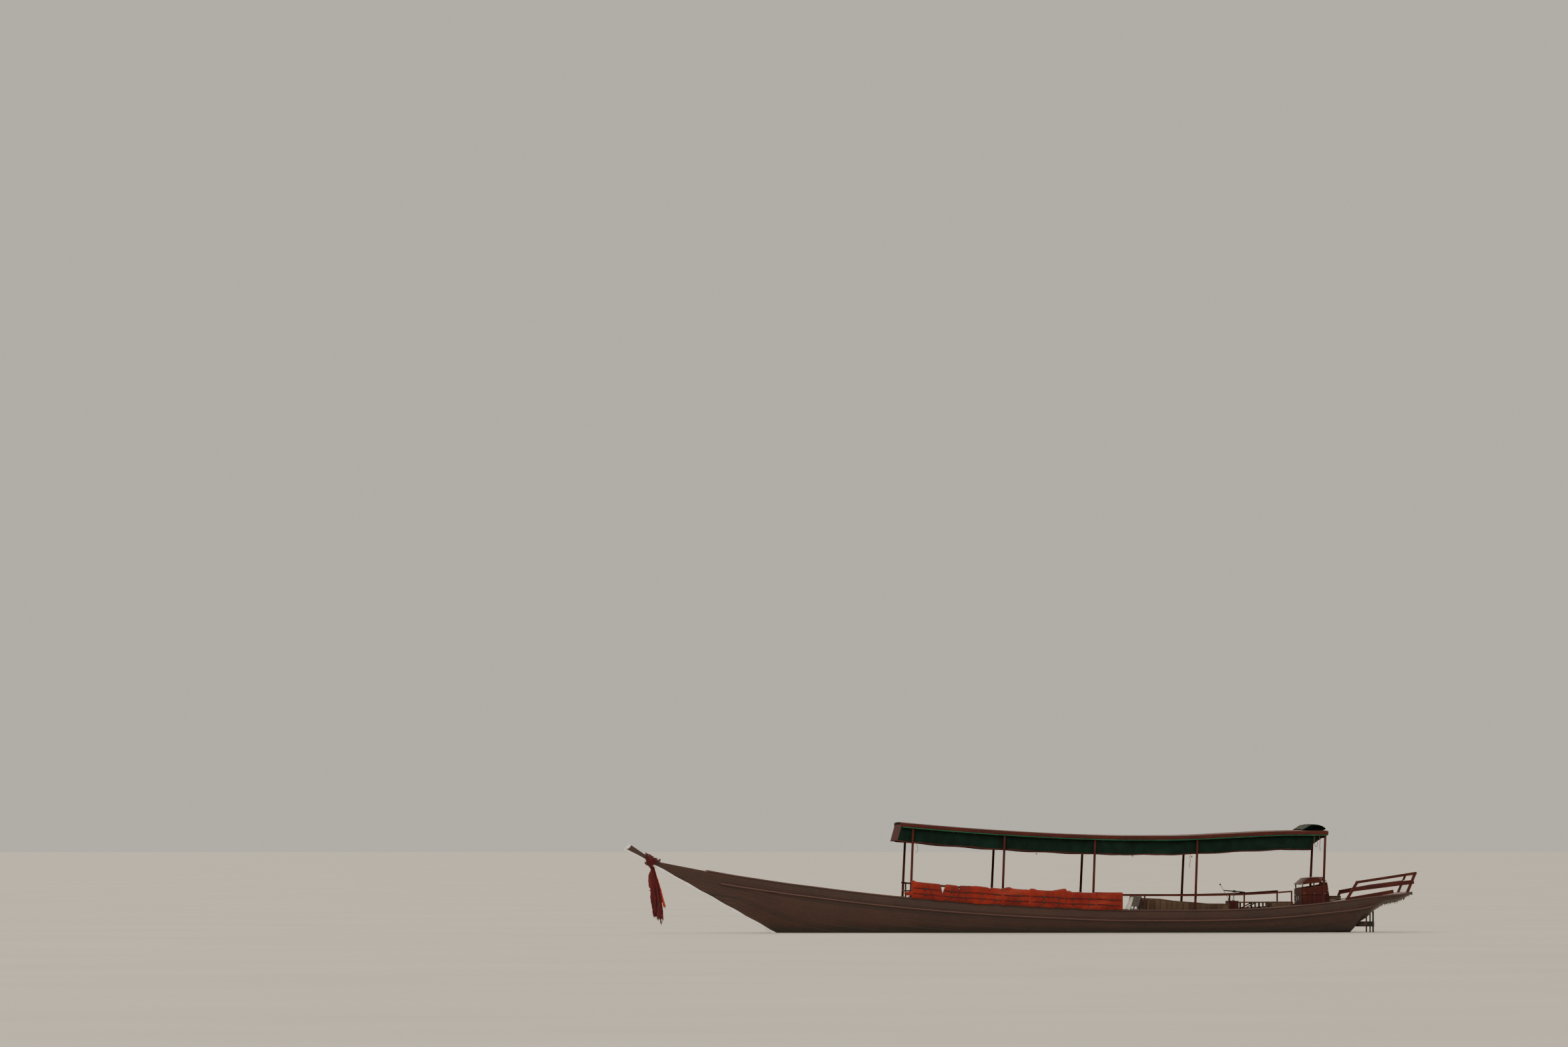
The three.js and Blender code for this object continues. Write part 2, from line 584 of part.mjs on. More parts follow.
// Stowage locker aft of the last bench with a sloping top, open underneath where it stands
function locker() {
  const { start, end, half: y, wall, top } = LOCKER;
  const base = floorTop(start) + GAP;
  const last = top.length - 1;
  const inside = top.map(([x, z], i) => {
    if (i === 0) return [x - wall, z - wall];
    return [i === last ? x - 40 : x, z - wall];
  });
  const hull = (inset) => insideHull(start - 100, end + 50, inset, 400);
  const outer = keepWithin(plate([[start, base], [end, base], ...top], -y, y), hull(WITHIN_RIBS));
  const inner = keepWithin(
    plate([[start + wall, base - 50], [end - wall, base - 50], ...inside], -y + wall, y - wall),
    hull(WITHIN_RIBS + wall)
  );
  return cut(outer, inner);
}

function boxSeat() {
  const { start, end, half: y, top, wall } = BOX_SEAT;
  return cut(
    box(start, end, -y, y, floorTop(end) + GAP, top),
    box(start + wall, end - wall, -y + wall, y - wall, DEEP, top - wall - 6)
  );
}

function helmSeat() {
  const { start, end, half: y, top, thick, leg } = HELM_SEAT;
  const side = y - 20;
  const legs = [start + 10, 4372, 4518, end - 45].flatMap((x) =>
    bothSides((sign) =>
      box(x, x + leg, sign * side - leg / 2, sign * side + leg / 2, floorTop(x + leg) + GAP, top - 20)));
  const braces = bothSides((sign) =>
    beam(v(start + 26, sign * side, 440), v(4388, sign * side, 548), 20, 26));
  const sills = bothSides((sign) => box(start + 10, end - 13, sign * side - 14, sign * side + 14, 405, 435));
  const ties = [start + 16, end - 40].map((x) => box(x, x + 24, -side, side, 408, 432));
  return join(box(start, end, -y, y, top - thick, top), ...legs, ...braces, ...sills, ...ties);
}

// Roof line along the top of the side fascia
const ROOF_LINE = [
  { x: -2380, z: 2056 }, { x: -1938, z: 2015 }, { x: -952, z: 1935 }, { x: 294, z: 1857 },
  { x: 1046, z: 1824 }, { x: 1924, z: 1803 }, { x: 2678, z: 1803 }, { x: 3684, z: 1841 },
  { x: 4568, z: 1884 }, { x: 5012, z: 1896 }, { x: 5684, z: 1896 },
];

// The hoops' places on the gunwale, and where their posts' heads meet the cross beams
const HOOPS = [-2121, -435, 1245, 3160, 5580].map((x) => ({
  x,
  y: half(x) - POST.inboard,
  topX: Math.round(x + POST.rake * (fair(ROOF_LINE, "z", x) - sheer(x) - CROSS.top)),
}));
const ROOF_PLAN = HOOPS.map(({ y, topX }) => ({ x: topX, w: y }));
const ROOF_AT = [...ROOF_LINE, ...ROOF_PLAN].map((p) => p.x).sort((a, b) => a - b);

// A column of a roof table, fair at the roof's sections and straight between them
const straight = (table, column) => (x) => {
  const inner = ROOF_AT.filter((at) => at > table[0].x && at < table[table.length - 1].x);
  const low = inner.filter((at) => at <= x).pop() ?? x;
  const high = inner.find((at) => at > x) ?? x;
  if (low === x || high === x) return fair(table, column, x);
  return onLine({ x: low, z: fair(table, column, low) }, { x: high, z: fair(table, column, high) }, x);
};
const roofLine = straight(ROOF_LINE, "z");
const roofHalf = straight(ROOF_PLAN, "w");
const roofSections = (start, end) => [start, ...ROOF_AT.filter((x) => x > start + 15 && x < end - 15), end];

const CREST = 0.2;           // the roof is flat between -0.2 and 0.2 of its half-breadth
const camber = (t) => ROOF.crown * (1 - t * t) - ROOF.edge * t * t;

function roofPanel() {
  const ring = (x) => {
    const w = roofHalf(x);
    const top = roofLine(x);
    const arch = [-1, -0.6, -CREST, CREST, 0.6, 1].map((t) => ({ y: t * w, z: top + camber(t) }));
    const under = arch.map((p) => ({ y: p.y * (1 - ROOF.board / w), z: p.z - ROOF.thick }));
    const foot = top - ROOF.fascia;
    return [
      v(x, -w, foot), ...arch.map((p) => v(x, p.y, p.z)), v(x, w, foot),
      v(x, w - ROOF.board, foot), ...under.reverse().map((p) => v(x, p.y, p.z)), v(x, -w + ROOF.board, foot),
    ];
  };
  return loft(roofSections(ROOF.start, ROOF.end).map(ring));
}

const crossBeam = ({ topX, y }, grow = 0) => {
  const [along, across] = [CROSS.wide / 2 + grow, y - POST.lean + 12];
  const [low, high] = [roofLine(topX) - CROSS.bottom - grow, roofLine(topX) - CROSS.top + grow];
  return box(topX - along, topX + along, -across, across, low, high);
};
const notched = (geometry, clear) => cut(geometry, ...HOOPS.map((place) => crossBeam(place, clear)));

const purlinFace = (x) => roofHalf(x) - PURLIN.inset;
const purlin = (sign) =>
  notched(batten(roofSections(ROOF.start + 25, ROOF.end - 20), (x) => ({
    y: [sign * (purlinFace(x) - PURLIN.wide), sign * purlinFace(x)],
    z: [roofLine(x) - PURLIN.bottom, roofLine(x) - PURLIN.top - GAP],
  })), GAP + 0.1);

const ridge = () =>
  notched(batten(roofSections(ROOF.start + 23.4, ROOF.end - 20), (x) => ({
    y: [-20, 20],
    z: [roofLine(x) - PURLIN.bottom, roofLine(x) + camber(CREST) - ROOF.thick - GAP],
  })), GAP + 0.1);

// Two leaning posts on foot pads with a cross beam; the first hoop also has a bar at hand height
function hoop(place, index) {
  const { x, y, topX } = place;
  const posts = bothSides((sign) => {
    const foot = v(x, sign * y, sheer(x) + GAP + 1);
    const head = v(topX, sign * (y - POST.lean), roofLine(topX) - CROSS.top - 8);
    return rod(foot, head, POST.radius, POST.sides);
  });
  const slope = (sheer(x + FOOT_PAD.half) - sheer(x - FOOT_PAD.half)) / 2;
  const [fore, aft] = [sheer(x) - slope, sheer(x) + slope];
  const pads = bothSides((sign) => plate([
    [x - FOOT_PAD.half, fore + GAP], [x + FOOT_PAD.half, aft + GAP],
    [x + FOOT_PAD.half, aft + FOOT_PAD.thick], [x - FOOT_PAD.half, fore + FOOT_PAD.thick],
  ], sign * y - FOOT_PAD.wide, sign * y + FOOT_PAD.wide));
  const pieces = [...posts, ...pads, crossBeam(place)];
  if (index === 0) {
    const up = FRONT_BAR.z - sheer(x);
    const reach = y - (POST.lean * up) / (roofLine(topX) - sheer(x));
    const at = x + POST.rake * up;
    const [near, far] = [at - FRONT_BAR.half, at + FRONT_BAR.half];
    pieces.push(box(near, far, -reach, reach, FRONT_BAR.z - FRONT_BAR.half, FRONT_BAR.z + FRONT_BAR.half));
  }
  return cut(join(...pieces), belowGunwale(x - 300, x + 300));
}

// Cloth that hangs inside the purlin, with a hem, and slants up at its aft end
function valance(sign) {
  const face = (x) => purlinFace(x) - PURLIN.wide - GAP;
  const aft = ROOF.end - 20;
  const front = ROOF.start - VALANCE.lean;
  const depthAt = (x) => {
    if (x < ROOF.start) return VALANCE.frontDepth;
    if (x < VALANCE.fullTo) return VALANCE.depth;
    return onLine({ x: VALANCE.fullTo, z: VALANCE.fullDepth }, { x: aft, z: VALANCE.endDepth }, x);
  };
  const ring = (topX, lowX) => {
    const [high, low] = [roofLine(topX) - VALANCE.top, roofLine(lowX) - depthAt(lowX)];
    const [outTop, outLow] = [sign * face(topX), sign * face(lowX)];
    const [inTop, inLow] = [outTop - sign * VALANCE.thick, outLow - sign * VALANCE.thick];
    return [v(lowX, outLow, low), v(topX, outTop, high), v(topX, inTop, high), v(lowX, inLow, low)];
  };
  const middle = ROOF_AT.filter((x) => x > ROOF.start + 15 && x < 5200);
  const last = [VALANCE.fullTo, HOOPS[4].topX, aft];
  const sheet = loft([ring(ROOF.start + 3, front), ...[...middle, ...last].map((x) => ring(x, x))]);
  const hem = batten([front + 3, ...middle, VALANCE.fullTo], (x) => {
    const low = roofLine(x) - depthAt(x) - 2;
    return {
      y: [sign * (face(x) - 3), sign * (face(x) - VALANCE.thick - VALANCE.hemProud)],
      z: [low, low + VALANCE.hem],
    };
  });
  return notched(join(sheet, hem), 1.5);
}

// Board that leans out across the front between the valances
function frontFascia() {
  const clear = 3;
  const thick = 18;
  const w = purlinFace(ROOF.start) - PURLIN.wide - VALANCE.thick - VALANCE.hemProud - clear;
  const front = ROOF.start - VALANCE.lean;
  const low = front + 8;
  const [z0, z1] = [roofLine(front) - VALANCE.frontDepth, roofLine(ROOF.start) - PURLIN.top - 6];
  return plate([
    [ROOF.start + 5, z1], [low, z0], [low + thick, z0], [ROOF.start + 5 + thick, z1],
  ], -w, w);
}

// Rolled awning that lies across the aft end of the roof
function awningRoll() {
  const seat = (x) => roofLine(x) + camber(CREST) + GAP;
  return plate([
    ...AWNING.seats.map((x) => [x, seat(x)]),
    ...AWNING.back.map(([x, over]) => [x, seat(x) + over]),
  ], -AWNING.half, AWNING.half);
}

// Rails
const railTop = (x) => sheer(x) + RAIL.height;
const railInner = (x) => half(x) - POST.inboard - (POST.lean * RAIL.height) / 1360 + RAIL.fromPost;

// Handrail along one side with its short stanchions
function sideRail(sign) {
  const across = (x, a, b) => [sign * (railInner(x) + a), sign * (railInner(x) + b)];
  const run = hullBatten(RAIL.start, RAIL.end, (x) => ({
    y: across(x, 0, RAIL.width), z: [railTop(x) - RAIL.depth, railTop(x)],
  }));
  const stanchions = STANCHION.at.map((x) => {
    const [near, far] = [x - STANCHION.half, x + STANCHION.half];
    const [y0, y1] = across(x, 4, 28).sort((a, b) => a - b);
    return box(near, far, y0, y1, Math.max(sheer(near), sheer(far)) + GAP, railTop(x) - 8);
  });
  return join(run, ...stanchions);
}

// Life jackets hung over the port handrail, one long padded form
function lifeJackets() {
  return loft(
    sectionsBetween(JACKETS.start, JACKETS.end).map((x) => {
      const [inner, outer] = [railInner(x), railInner(x) + RAIL.width];
      const [low, top] = [sheer(x) + JACKETS.foot, railTop(x)];
      return [
        v(x, -(outer + JACKETS.proud - 14), low), v(x, -(outer + JACKETS.proud), (low + top) / 2),
        v(x, -(outer + JACKETS.proud - 22), top + 34), v(x, -(inner + 12), top + JACKETS.over),
        v(x, -(inner - 2), top + 30), v(x, -(inner + 2), top + GAP),
        v(x, -(outer + GAP), top + GAP), v(x, -(outer + GAP), low),
      ];
    })
  );
}

// The port rail has a top rail with a knee and a middle board, the starboard one the board alone
const sternRailY = (x) => half(x) - STERN_RAIL.inboard;
function sternRail(sign) {
  const at = ([x, z]) => v(x, sign * sternRailY(x), z);
  const run = (points, [across, deep]) =>
    points.slice(1).map((point, i) => beam(at(points[i]), at(point), across, deep));
  const { post, board } = STERN_RAIL;
  const port = [
    ...run([[7214, 742], [7366, 1094]], post),
    ...run([[6034, 612], [6235, 936]], post),
    ...run([[6225, 930], [6800, 1014], [7380, 1100]], post),
    ...run([[6150, 797], [6700, 864], [7330, 938]], board),
    ...run([[6040, 613], [6470, 684], [6925, 759]], STERN_RAIL.lowBoard),
  ];
  const starboard = [
    ...run([[6095, 620], [6148, 748]], post),
    ...run([[6138, 742], [6700, 845], [7330, 930]], board),
    ...run([[7214, 742], [7354, 1066]], post),
    ...run([[7230, 1046], [7372, 1069]], post),
  ];
  return cut(join(...(sign < 0 ? port : starboard)), belowGunwale(5900, CAP.end));
}

// Cross boards and upright slats that close the stern railing
function taffrail() {
  const boards = TAFFRAIL.boards.map(({ x, z, tall, clear }) => {
    const y = sternRailY(x) - clear;
    return box(x - TAFFRAIL.half, x + TAFFRAIL.half, -y, y, z - tall / 2, z + tall / 2);
  });
  const [footX, footZ] = TAFFRAIL.foot;
  const [headX, headZ] = TAFFRAIL.head;
  const profile = [
    [footX, footZ], [headX, headZ], [headX + TAFFRAIL.slat, headZ], [footX + TAFFRAIL.slat, footZ],
  ];
  const slats = TAFFRAIL.slats.map((t) => {
    const at = t * (sternRailY(AFT_DECK.end) - 50);
    return plate(profile, at - TAFFRAIL.slatHalf, at + TAFFRAIL.slatHalf);
  });
  return join(...boards, ...slats);
}

// Helm
const wheelAxis = v(WHEEL.tilt, 0, 1).normalize();

function helmConsole() {
  const { start, end, half: y, top } = CONSOLE;
  const body = plate([
    [start, floorTop(start) + GAP], [end, floorTop(end) + GAP], [end, top], [start, top],
  ], -y, y);
  const below = (distance) => v(WHEEL.x, 0, WHEEL.z).addScaledVector(wheelAxis, -distance);
  const hubHalf = WHEEL.hub[2] / 2;
  return join(body, rod(below(COLUMN.length), below(hubHalf + GAP), COLUMN.radius));
}

function steeringWheel() {
  const rim = new THREE.TorusGeometry(WHEEL.radius, WHEEL.grip, 6, 24);
  const spokes = [0, 1, 2].map((i) => {
    const a = (i * 2 * Math.PI) / 3 + Math.PI / 2;
    return rod(v(0, 0, 0), v(WHEEL.radius * Math.cos(a), WHEEL.radius * Math.sin(a), 0), WHEEL.spoke, 8);
  });
  const [top, foot, tall] = WHEEL.hub;
  const hub = new THREE.CylinderGeometry(top, foot, tall, 16).rotateX(Math.PI / 2);
  const turn = new THREE.Quaternion().setFromUnitVectors(v(0, 0, 1), wheelAxis);
  return join(rim, ...spokes, hub).applyQuaternion(turn).translate(WHEEL.x, 0, WHEEL.z);
}

function gearLever() {
  const [foot, head] = [LEVER.foot, LEVER.head].map(([x, z]) => v(x, LEVER.y, z));
  return join(
    rod(foot, head, LEVER.radius, 8),
    new THREE.SphereGeometry(LEVER.knob, 8, 6).translate(head.x, head.y, head.z),
    box(foot.x - 15, foot.x + 30, LEVER.y - 25, LEVER.y + 25, CONSOLE.top + GAP, CONSOLE.top + 18)
  );
}

// Engine box: four walls with a sloping top rim, open at top and bottom, on two sills
function engineBox() {
  const { front, aft, half: y, floor, wall, rim, rimAft } = ENGINE_BOX;
  const outer = plate([
    [front, floor], [aft + 60, floor], [aft, 631], [aft - 47, 932], [aft - 75, 934], rimAft, [front, rim],
  ], -y, y);
  const over = rim + 300;      // past the open top
  const inner = plate([
    [front + wall, floor - 50], [aft + 36, floor - 50], [aft - wall, 631],
    [aft - 72, 905], [aft - 98, over], [front + wall, over],
  ], -y + wall, y - wall);
  const sills = bothSides((sign) =>
    box(front, front + 60, sign * 300 - 40, sign * 300 + 40, floor, floor + 30));
  return join(cut(outer, inner), ...sills);
}

// Raised lid on short legs that stand on the box's rim, hinged at the aft wall's top edge
function engineLid() {
  const { half: y, front, rim, rimAft } = ENGINE_BOX;
  const [bendX, bendZ] = LID.bend;
  const [aftX, aftZ] = LID.aft;
  const slab = plate([
    [front - LID.overhang, LID.front], LID.bend, LID.aft, [aftX, aftZ - LID.thick],
    [bendX + 7, bendZ - LID.thick], LID.lip,
  ], -y - LID.side, y + LID.side);
  const gables = bothSides((sign) => {
    const face = sign * (y + LID.side);
    const [y0, y1] = [face, face - sign * LID.gable].sort((a, b) => a - b);
    return plate([
      [front - LID.overhang + 2, LID.front - 2], [bendX, bendZ - 2], [aftX - 2, aftZ - 2],
      ...LID.gableFoot, LID.lip,
    ], y0, y1);
  });
  const rimAt = (x) => onLine({ x: front, z: rim }, { x: rimAft[0], z: rimAft[1] }, x);
  const slabAt = (x) => onLine(...(x < bendX
    ? [{ x: front - LID.overhang, z: LID.front }, { x: bendX, z: bendZ }]
    : [{ x: bendX, z: bendZ }, { x: aftX, z: aftZ }]), x) - LID.thick / 2;
  const legs = LID.legs.flatMap((x) => bothSides((sign) => {
    const [y0, y1] = [sign * (y - 22), sign * (y - 2)].sort((a, b) => a - b);
    return box(x, x + LID.leg, y0, y1, rimAt(x + LID.leg) + GAP, slabAt(x));
  }));
  const arms = bothSides((sign) => {
    const middle = sign * LID.armY;
    const high = aftZ - LID.thick / 2;
    const arm = [[aftX - 28, high], [aftX - 2, high], [HINGE.x + 10, HINGE.z + 10], [HINGE.x - 14, HINGE.z]];
    const pin = rod(v(HINGE.x, middle - 45, HINGE.z), v(HINGE.x, middle + 45, HINGE.z), HINGE.pin);
    return join(plate(arm, middle - 20, middle + 20), pin);
  });
  return join(slab, ...gables, ...legs, ...arms);
}

// Stern gear
// Platform under the counter with the struts that guard the propeller and hold the rudder's bearing
function sternPlatform() {
  const slab = cut(
    box(PLATFORM.start, PLATFORM.end, -PLATFORM.half, PLATFORM.half, PLATFORM.low, PLATFORM.top),
    rod(v(RUDDER.x, 0, 0), v(RUDDER.x, 0, 300), RUDDER.stock + RUNNING)
  );
  const bars = bothSides((sign) => {
    const low = v(STRUT.x, sign * STRUT.y, STRUT.low);
    const head = v(STRUT.x, sign * STRUT.y, STRUT.top);
    const front = v(STRUT.guardX, sign * STRUT.y, STRUT.guardZ);
    return join(rod(low, head, STRUT.radius, STRUT.sides), rod(low, front, STRUT.radius, STRUT.sides));
  });
  return cut(join(slab, ...bars), withinOuterSkin(6100, 6900));
}

const propellerShaft = () =>
  rod(shaftAt(SHAFT.entry - 40), shaftAt(SHAFT.x + 60), SHAFT.radius, SHAFT.sides);

// Blades as rings of chord and twist at each radius, on a hub bored for the shaft
function propeller() {
  const { hub: hubRadius, radius, length, blades: count } = PROPELLER;
  const hub = new THREE.CylinderGeometry(hubRadius * 0.8, hubRadius, length, SHAFT.sides);
  const rings = [
    { r: hubRadius - 14, chord: 60, twist: 0.9 }, { r: 70, chord: 104, twist: 0.72 },
    { r: 110, chord: 128, twist: 0.58 }, { r: 145, chord: 112, twist: 0.48 },
    { r: radius, chord: 40, twist: 0.42 },
  ];
  const section = ({ r, chord, twist }) =>
    [[-0.5, -1], [0, -5], [0.5, -1], [0.5, 1], [0, 5], [-0.5, 1]].map(([share, w]) => {
      const u = share * chord;
      return v(u * Math.cos(twist) + w * Math.sin(twist), u * Math.sin(twist) - w * Math.cos(twist), r);
    });
  const blades = Array.from({ length: count }, (_, i) =>
    loft(rings.map(section)).rotateY((i * 2 * Math.PI) / count));
  const bore = new THREE.CylinderGeometry(SHAFT.radius + GAP, SHAFT.radius + GAP, 2 * length, SHAFT.sides);
  const turn = new THREE.Quaternion().setFromUnitVectors(v(0, 1, 0), v(1, 0, SHAFT.slope).normalize());
  const centre = shaftAt(SHAFT.x);
  return cut(join(hub, ...blades), bore).applyQuaternion(turn).translate(centre.x, 0, centre.z);
}

function rudder() {
  const [front, aft, low, high] = RUDDER.blade;
  const stock = (from, to, radius) => rod(v(RUDDER.x, 0, from), v(RUDDER.x, 0, to), radius);
  return join(
    plate([
      [front, low + 40], [front + 60, low], [aft - 30, low + 20],
      [aft, high - 60], [aft - 40, high], [front + 10, high],
    ], -RUDDER.half, RUDDER.half),
    stock(RUDDER.heel, low + 60, RUDDER.pintle),
    stock(low + 10, RUDDER.top, RUDDER.stock)
  );
}

// Ribbons
// Cloth bound round the stem head, as rings square to the stem
function bound(grow) {
  const up = v(STEM_SLOPE, 0, 1).normalize();
  return loft(WRAP.rings.map(([x, radius]) => {
    const centre = v(x, 0, (stemFace(x) + stemTop(x)) / 2);
    return Array.from({ length: WRAP.sides }, (_, i) => {
      const a = (i * 2 * Math.PI) / WRAP.sides;
      return centre.clone()
        .addScaledVector(up, (radius + grow) * WRAP.taller * Math.cos(a))
        .add(v(0, (radius + grow) * Math.sin(a), 0));
    });
  }));
}

function sashWrap() {
  const [front, aft] = [-7100, -6600];
  const knee = STEM_HEAD[2].x;
  const stem = plate([
    [front, stemFace(front) - GAP], [aft, stemFace(aft) - GAP], [aft, stemTop(knee) + 16],
    [knee, stemTop(knee) + 16], [-6850, stemTop(-6850) + GAP], [front, stemTop(front) + GAP],
  ], -KEEL_HALF - GAP, KEEL_HALF + GAP);
  return cut(bound(0), stem);
}

// Ribbons that hang from the wrap
function sashTail() {
  const ribbons = loft(TAIL.rows.map(({ z, x, w }) => [
    v(x - w, -TAIL.edge, z), v(x, -TAIL.half, z), v(x + w / 2, -TAIL.edge, z),
    v(x + w / 2, TAIL.edge, z), v(x, TAIL.half, z), v(x - w, TAIL.edge, z),
  ]));
  return cut(ribbons, bound(GAP + 0.7));
}

// The boat
const boat = new THREE.Group();
function add(name, geometry, look) {
  const mesh = new THREE.Mesh(geometry, look);
  mesh.name = name;
  boat.add(mesh);
}

for (const { name, sign } of SIDES) {
  LENGTHS.forEach((part, i) => add(`hull_planking_${name}_${part}`, planking(sign, i), MAT.hull));
  add(`gunwale_${name}`, gunwale(sign), MAT.trim);
  add(`rub_rail_${name}`, rubRail(sign), MAT.trim);
}
add("keel_and_stem", backbone(), MAT.keel);
LENGTHS.forEach((part, i) => add(`frames_${part}`, frames(i), MAT.frame));
add("floor_boards", floorBoards(), MAT.deck);
add("fore_deck", foreDeck(), MAT.deck);
add("stern_deck", aftDeck(), MAT.deck);
for (let i = 0; i < BENCH.count; i += 1) {
  add(`bench_${i + 1}`, bench(BENCH.last - BENCH.pitch * (BENCH.count - 1 - i)), MAT.deck);
}
HOOPS.forEach((place, i) => add(`roof_hoop_${i + 1}`, hoop(place, i), MAT.paint));
add("roof_panel", roofPanel(), MAT.roof);
add("roof_ridge", ridge(), MAT.frame);
for (const { name, sign } of SIDES) {
  add(`roof_purlin_${name}`, purlin(sign), MAT.paint);
  add(`valance_${name}`, valance(sign), MAT.tarp);
  add(`side_rail_${name}`, sideRail(sign), MAT.paint);
  add(`stern_rail_${name}`, sternRail(sign), MAT.paint);
}
add("roof_front_fascia", frontFascia(), MAT.roof);
add("awning_roll", awningRoll(), MAT.tarp);
add("life_jackets", lifeJackets(), MAT.jacket);
add("locker", locker(), MAT.deck);
add("helm_console", helmConsole(), MAT.paint);
add("steering_wheel", steeringWheel(), MAT.rubber);
add("gear_lever", gearLever(), MAT.steel);
add("helm_seat", helmSeat(), MAT.frame);
add("box_seat", boxSeat(), MAT.deck);
add("engine_box", engineBox(), MAT.paint);
add("engine_box_lid", engineLid(), MAT.paint);
add("engine_block",
  box(ENGINE.start, ENGINE.end, -ENGINE.half, ENGINE.half, ENGINE_BOX.floor, ENGINE.top), MAT.iron);
add("low_box", box(LOW_BOX.start, LOW_BOX.end, -LOW_BOX.half, LOW_BOX.half,
  sheer(LOW_BOX.end) - AFT_DECK.below + GAP, LOW_BOX.top), MAT.deck);
add("taffrail", taffrail(), MAT.paint);
add("transom", transom(), MAT.trim);
add("stern_platform", sternPlatform(), MAT.iron);
add("propeller_shaft", propellerShaft(), MAT.steel);
add("propeller", propeller(), MAT.bronze);
add("rudder", rudder(), MAT.iron);
add("sash_wrap", sashWrap(), MAT.sash);
add("sash_tail", sashTail(), MAT.sash);

export default boat;
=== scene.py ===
# Looks of a wooden river passenger motorboat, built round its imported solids.
# Metres. The bow points to -X, port is -Y, +Z is up, and z = 0 is the water's surface.
import json
import math
import random

import bmesh
import bpy
from mathutils import Matrix, Vector, noise
from mathutils.bvhtree import BVHTree

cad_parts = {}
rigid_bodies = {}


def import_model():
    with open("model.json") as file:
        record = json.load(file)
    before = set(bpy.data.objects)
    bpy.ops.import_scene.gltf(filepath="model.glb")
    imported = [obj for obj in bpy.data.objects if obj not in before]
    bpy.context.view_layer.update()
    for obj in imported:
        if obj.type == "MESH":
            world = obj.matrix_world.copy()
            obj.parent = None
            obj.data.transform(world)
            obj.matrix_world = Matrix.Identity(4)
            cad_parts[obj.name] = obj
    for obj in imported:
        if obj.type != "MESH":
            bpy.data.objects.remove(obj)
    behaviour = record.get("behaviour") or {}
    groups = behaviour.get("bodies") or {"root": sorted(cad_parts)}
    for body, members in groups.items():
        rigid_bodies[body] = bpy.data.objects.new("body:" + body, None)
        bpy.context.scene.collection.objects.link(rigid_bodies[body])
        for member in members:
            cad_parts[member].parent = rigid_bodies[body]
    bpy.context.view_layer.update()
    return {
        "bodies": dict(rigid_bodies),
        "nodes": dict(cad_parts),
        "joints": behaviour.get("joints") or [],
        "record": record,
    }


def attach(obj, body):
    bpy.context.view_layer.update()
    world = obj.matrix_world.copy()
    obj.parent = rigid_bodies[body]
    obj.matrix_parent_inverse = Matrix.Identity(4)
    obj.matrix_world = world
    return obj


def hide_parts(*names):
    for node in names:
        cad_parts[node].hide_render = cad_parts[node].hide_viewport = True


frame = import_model()
scene = bpy.context.scene
HULL = "boat"

# Camera: a long lens from the bank, level with the canopy
CAMERA = {"at": (-22.546, -160.423, 1.65), "turn": 6.4505, "up": 2.1034, "lens": 200.0, "sensor": 36.0}
FAR_CLIP = 2000.0


def add_camera():
    data = bpy.data.cameras.new("camera")
    data.lens = CAMERA["lens"]
    data.sensor_width = CAMERA["sensor"]
    data.sensor_fit = "HORIZONTAL"
    data.clip_start = 1.0
    data.clip_end = FAR_CLIP
    camera = bpy.data.objects.new("camera", data)
    scene.collection.objects.link(camera)
    turn, up = math.radians(CAMERA["turn"]), math.radians(CAMERA["up"])
    ahead = Vector((math.sin(turn) * math.cos(up), math.cos(turn) * math.cos(up), math.sin(up)))
    camera.location = CAMERA["at"]
    camera.rotation_mode = "QUATERNION"
    camera.rotation_quaternion = ahead.to_track_quat("-Z", "Y")
    scene.camera = camera


add_camera()

# Sizes shared with the solids
PLANK = 0.035
CLEAR = 0.0003               # between pieces that stand on each other
KEEL_HALF = 0.0453
CAP = {"thick": 0.030, "inboard": 0.090, "proud": 0.012, "start": -5.850, "end": 7.306}
RUB = {"top": 0.185, "bottom": 0.225, "proud": 0.034, "start": -5.606, "end": 6.514}
FLOOR = {"top": -0.095, "over_keel": 0.115, "thick": 0.022, "start": -3.350, "end": 5.100}
FORE_DECK = {"start": -5.606, "end": -2.560, "drop": 0.110, "thick": 0.026}
AFT_DECK = {"start": 5.806, "end": 7.281, "below": 0.002, "thick": 0.028}
RIB_DEEP = 0.049
POST = {"radius": 0.024, "rake": 0.042, "lean": 0.050, "inboard": 0.050}
RAIL = {"height": 0.280, "width": 0.034, "from_post": 0.022}
ROOF = {"start": -2.278, "end": 5.684, "thick": 0.024, "crown": 0.006, "edge": 0.012, "fascia": 0.080,
        "board": 0.018}
CROSS = {"wide": 0.040, "top": 0.100, "bottom": 0.145}
PURLIN = {"inset": 0.039, "wide": 0.030}
VALANCE = {"top": 0.040, "depth": 0.365, "front_depth": 0.353, "lean": 0.087, "full_to": 5.385,
           "full_depth": 0.268, "end_depth": 0.090}
BENCH = {"seat": 0.235, "deep": 0.370, "back": 0.674, "rake": 0.253, "pitch": 0.880, "last": 2.060,
         "side": 0.190}
WHEEL = {"x": 4.030, "z": 0.762, "radius": 0.196, "grip": 0.011, "tilt": 0.094}
STEM_SLOPE = 0.5575
STEM_FOOT_X = -4.633
STEM_HEAD = ((-7.283, 1.641), (-7.010, 1.456), (-6.690, 1.298))
STEM_TIP = (-7.384, 1.534)

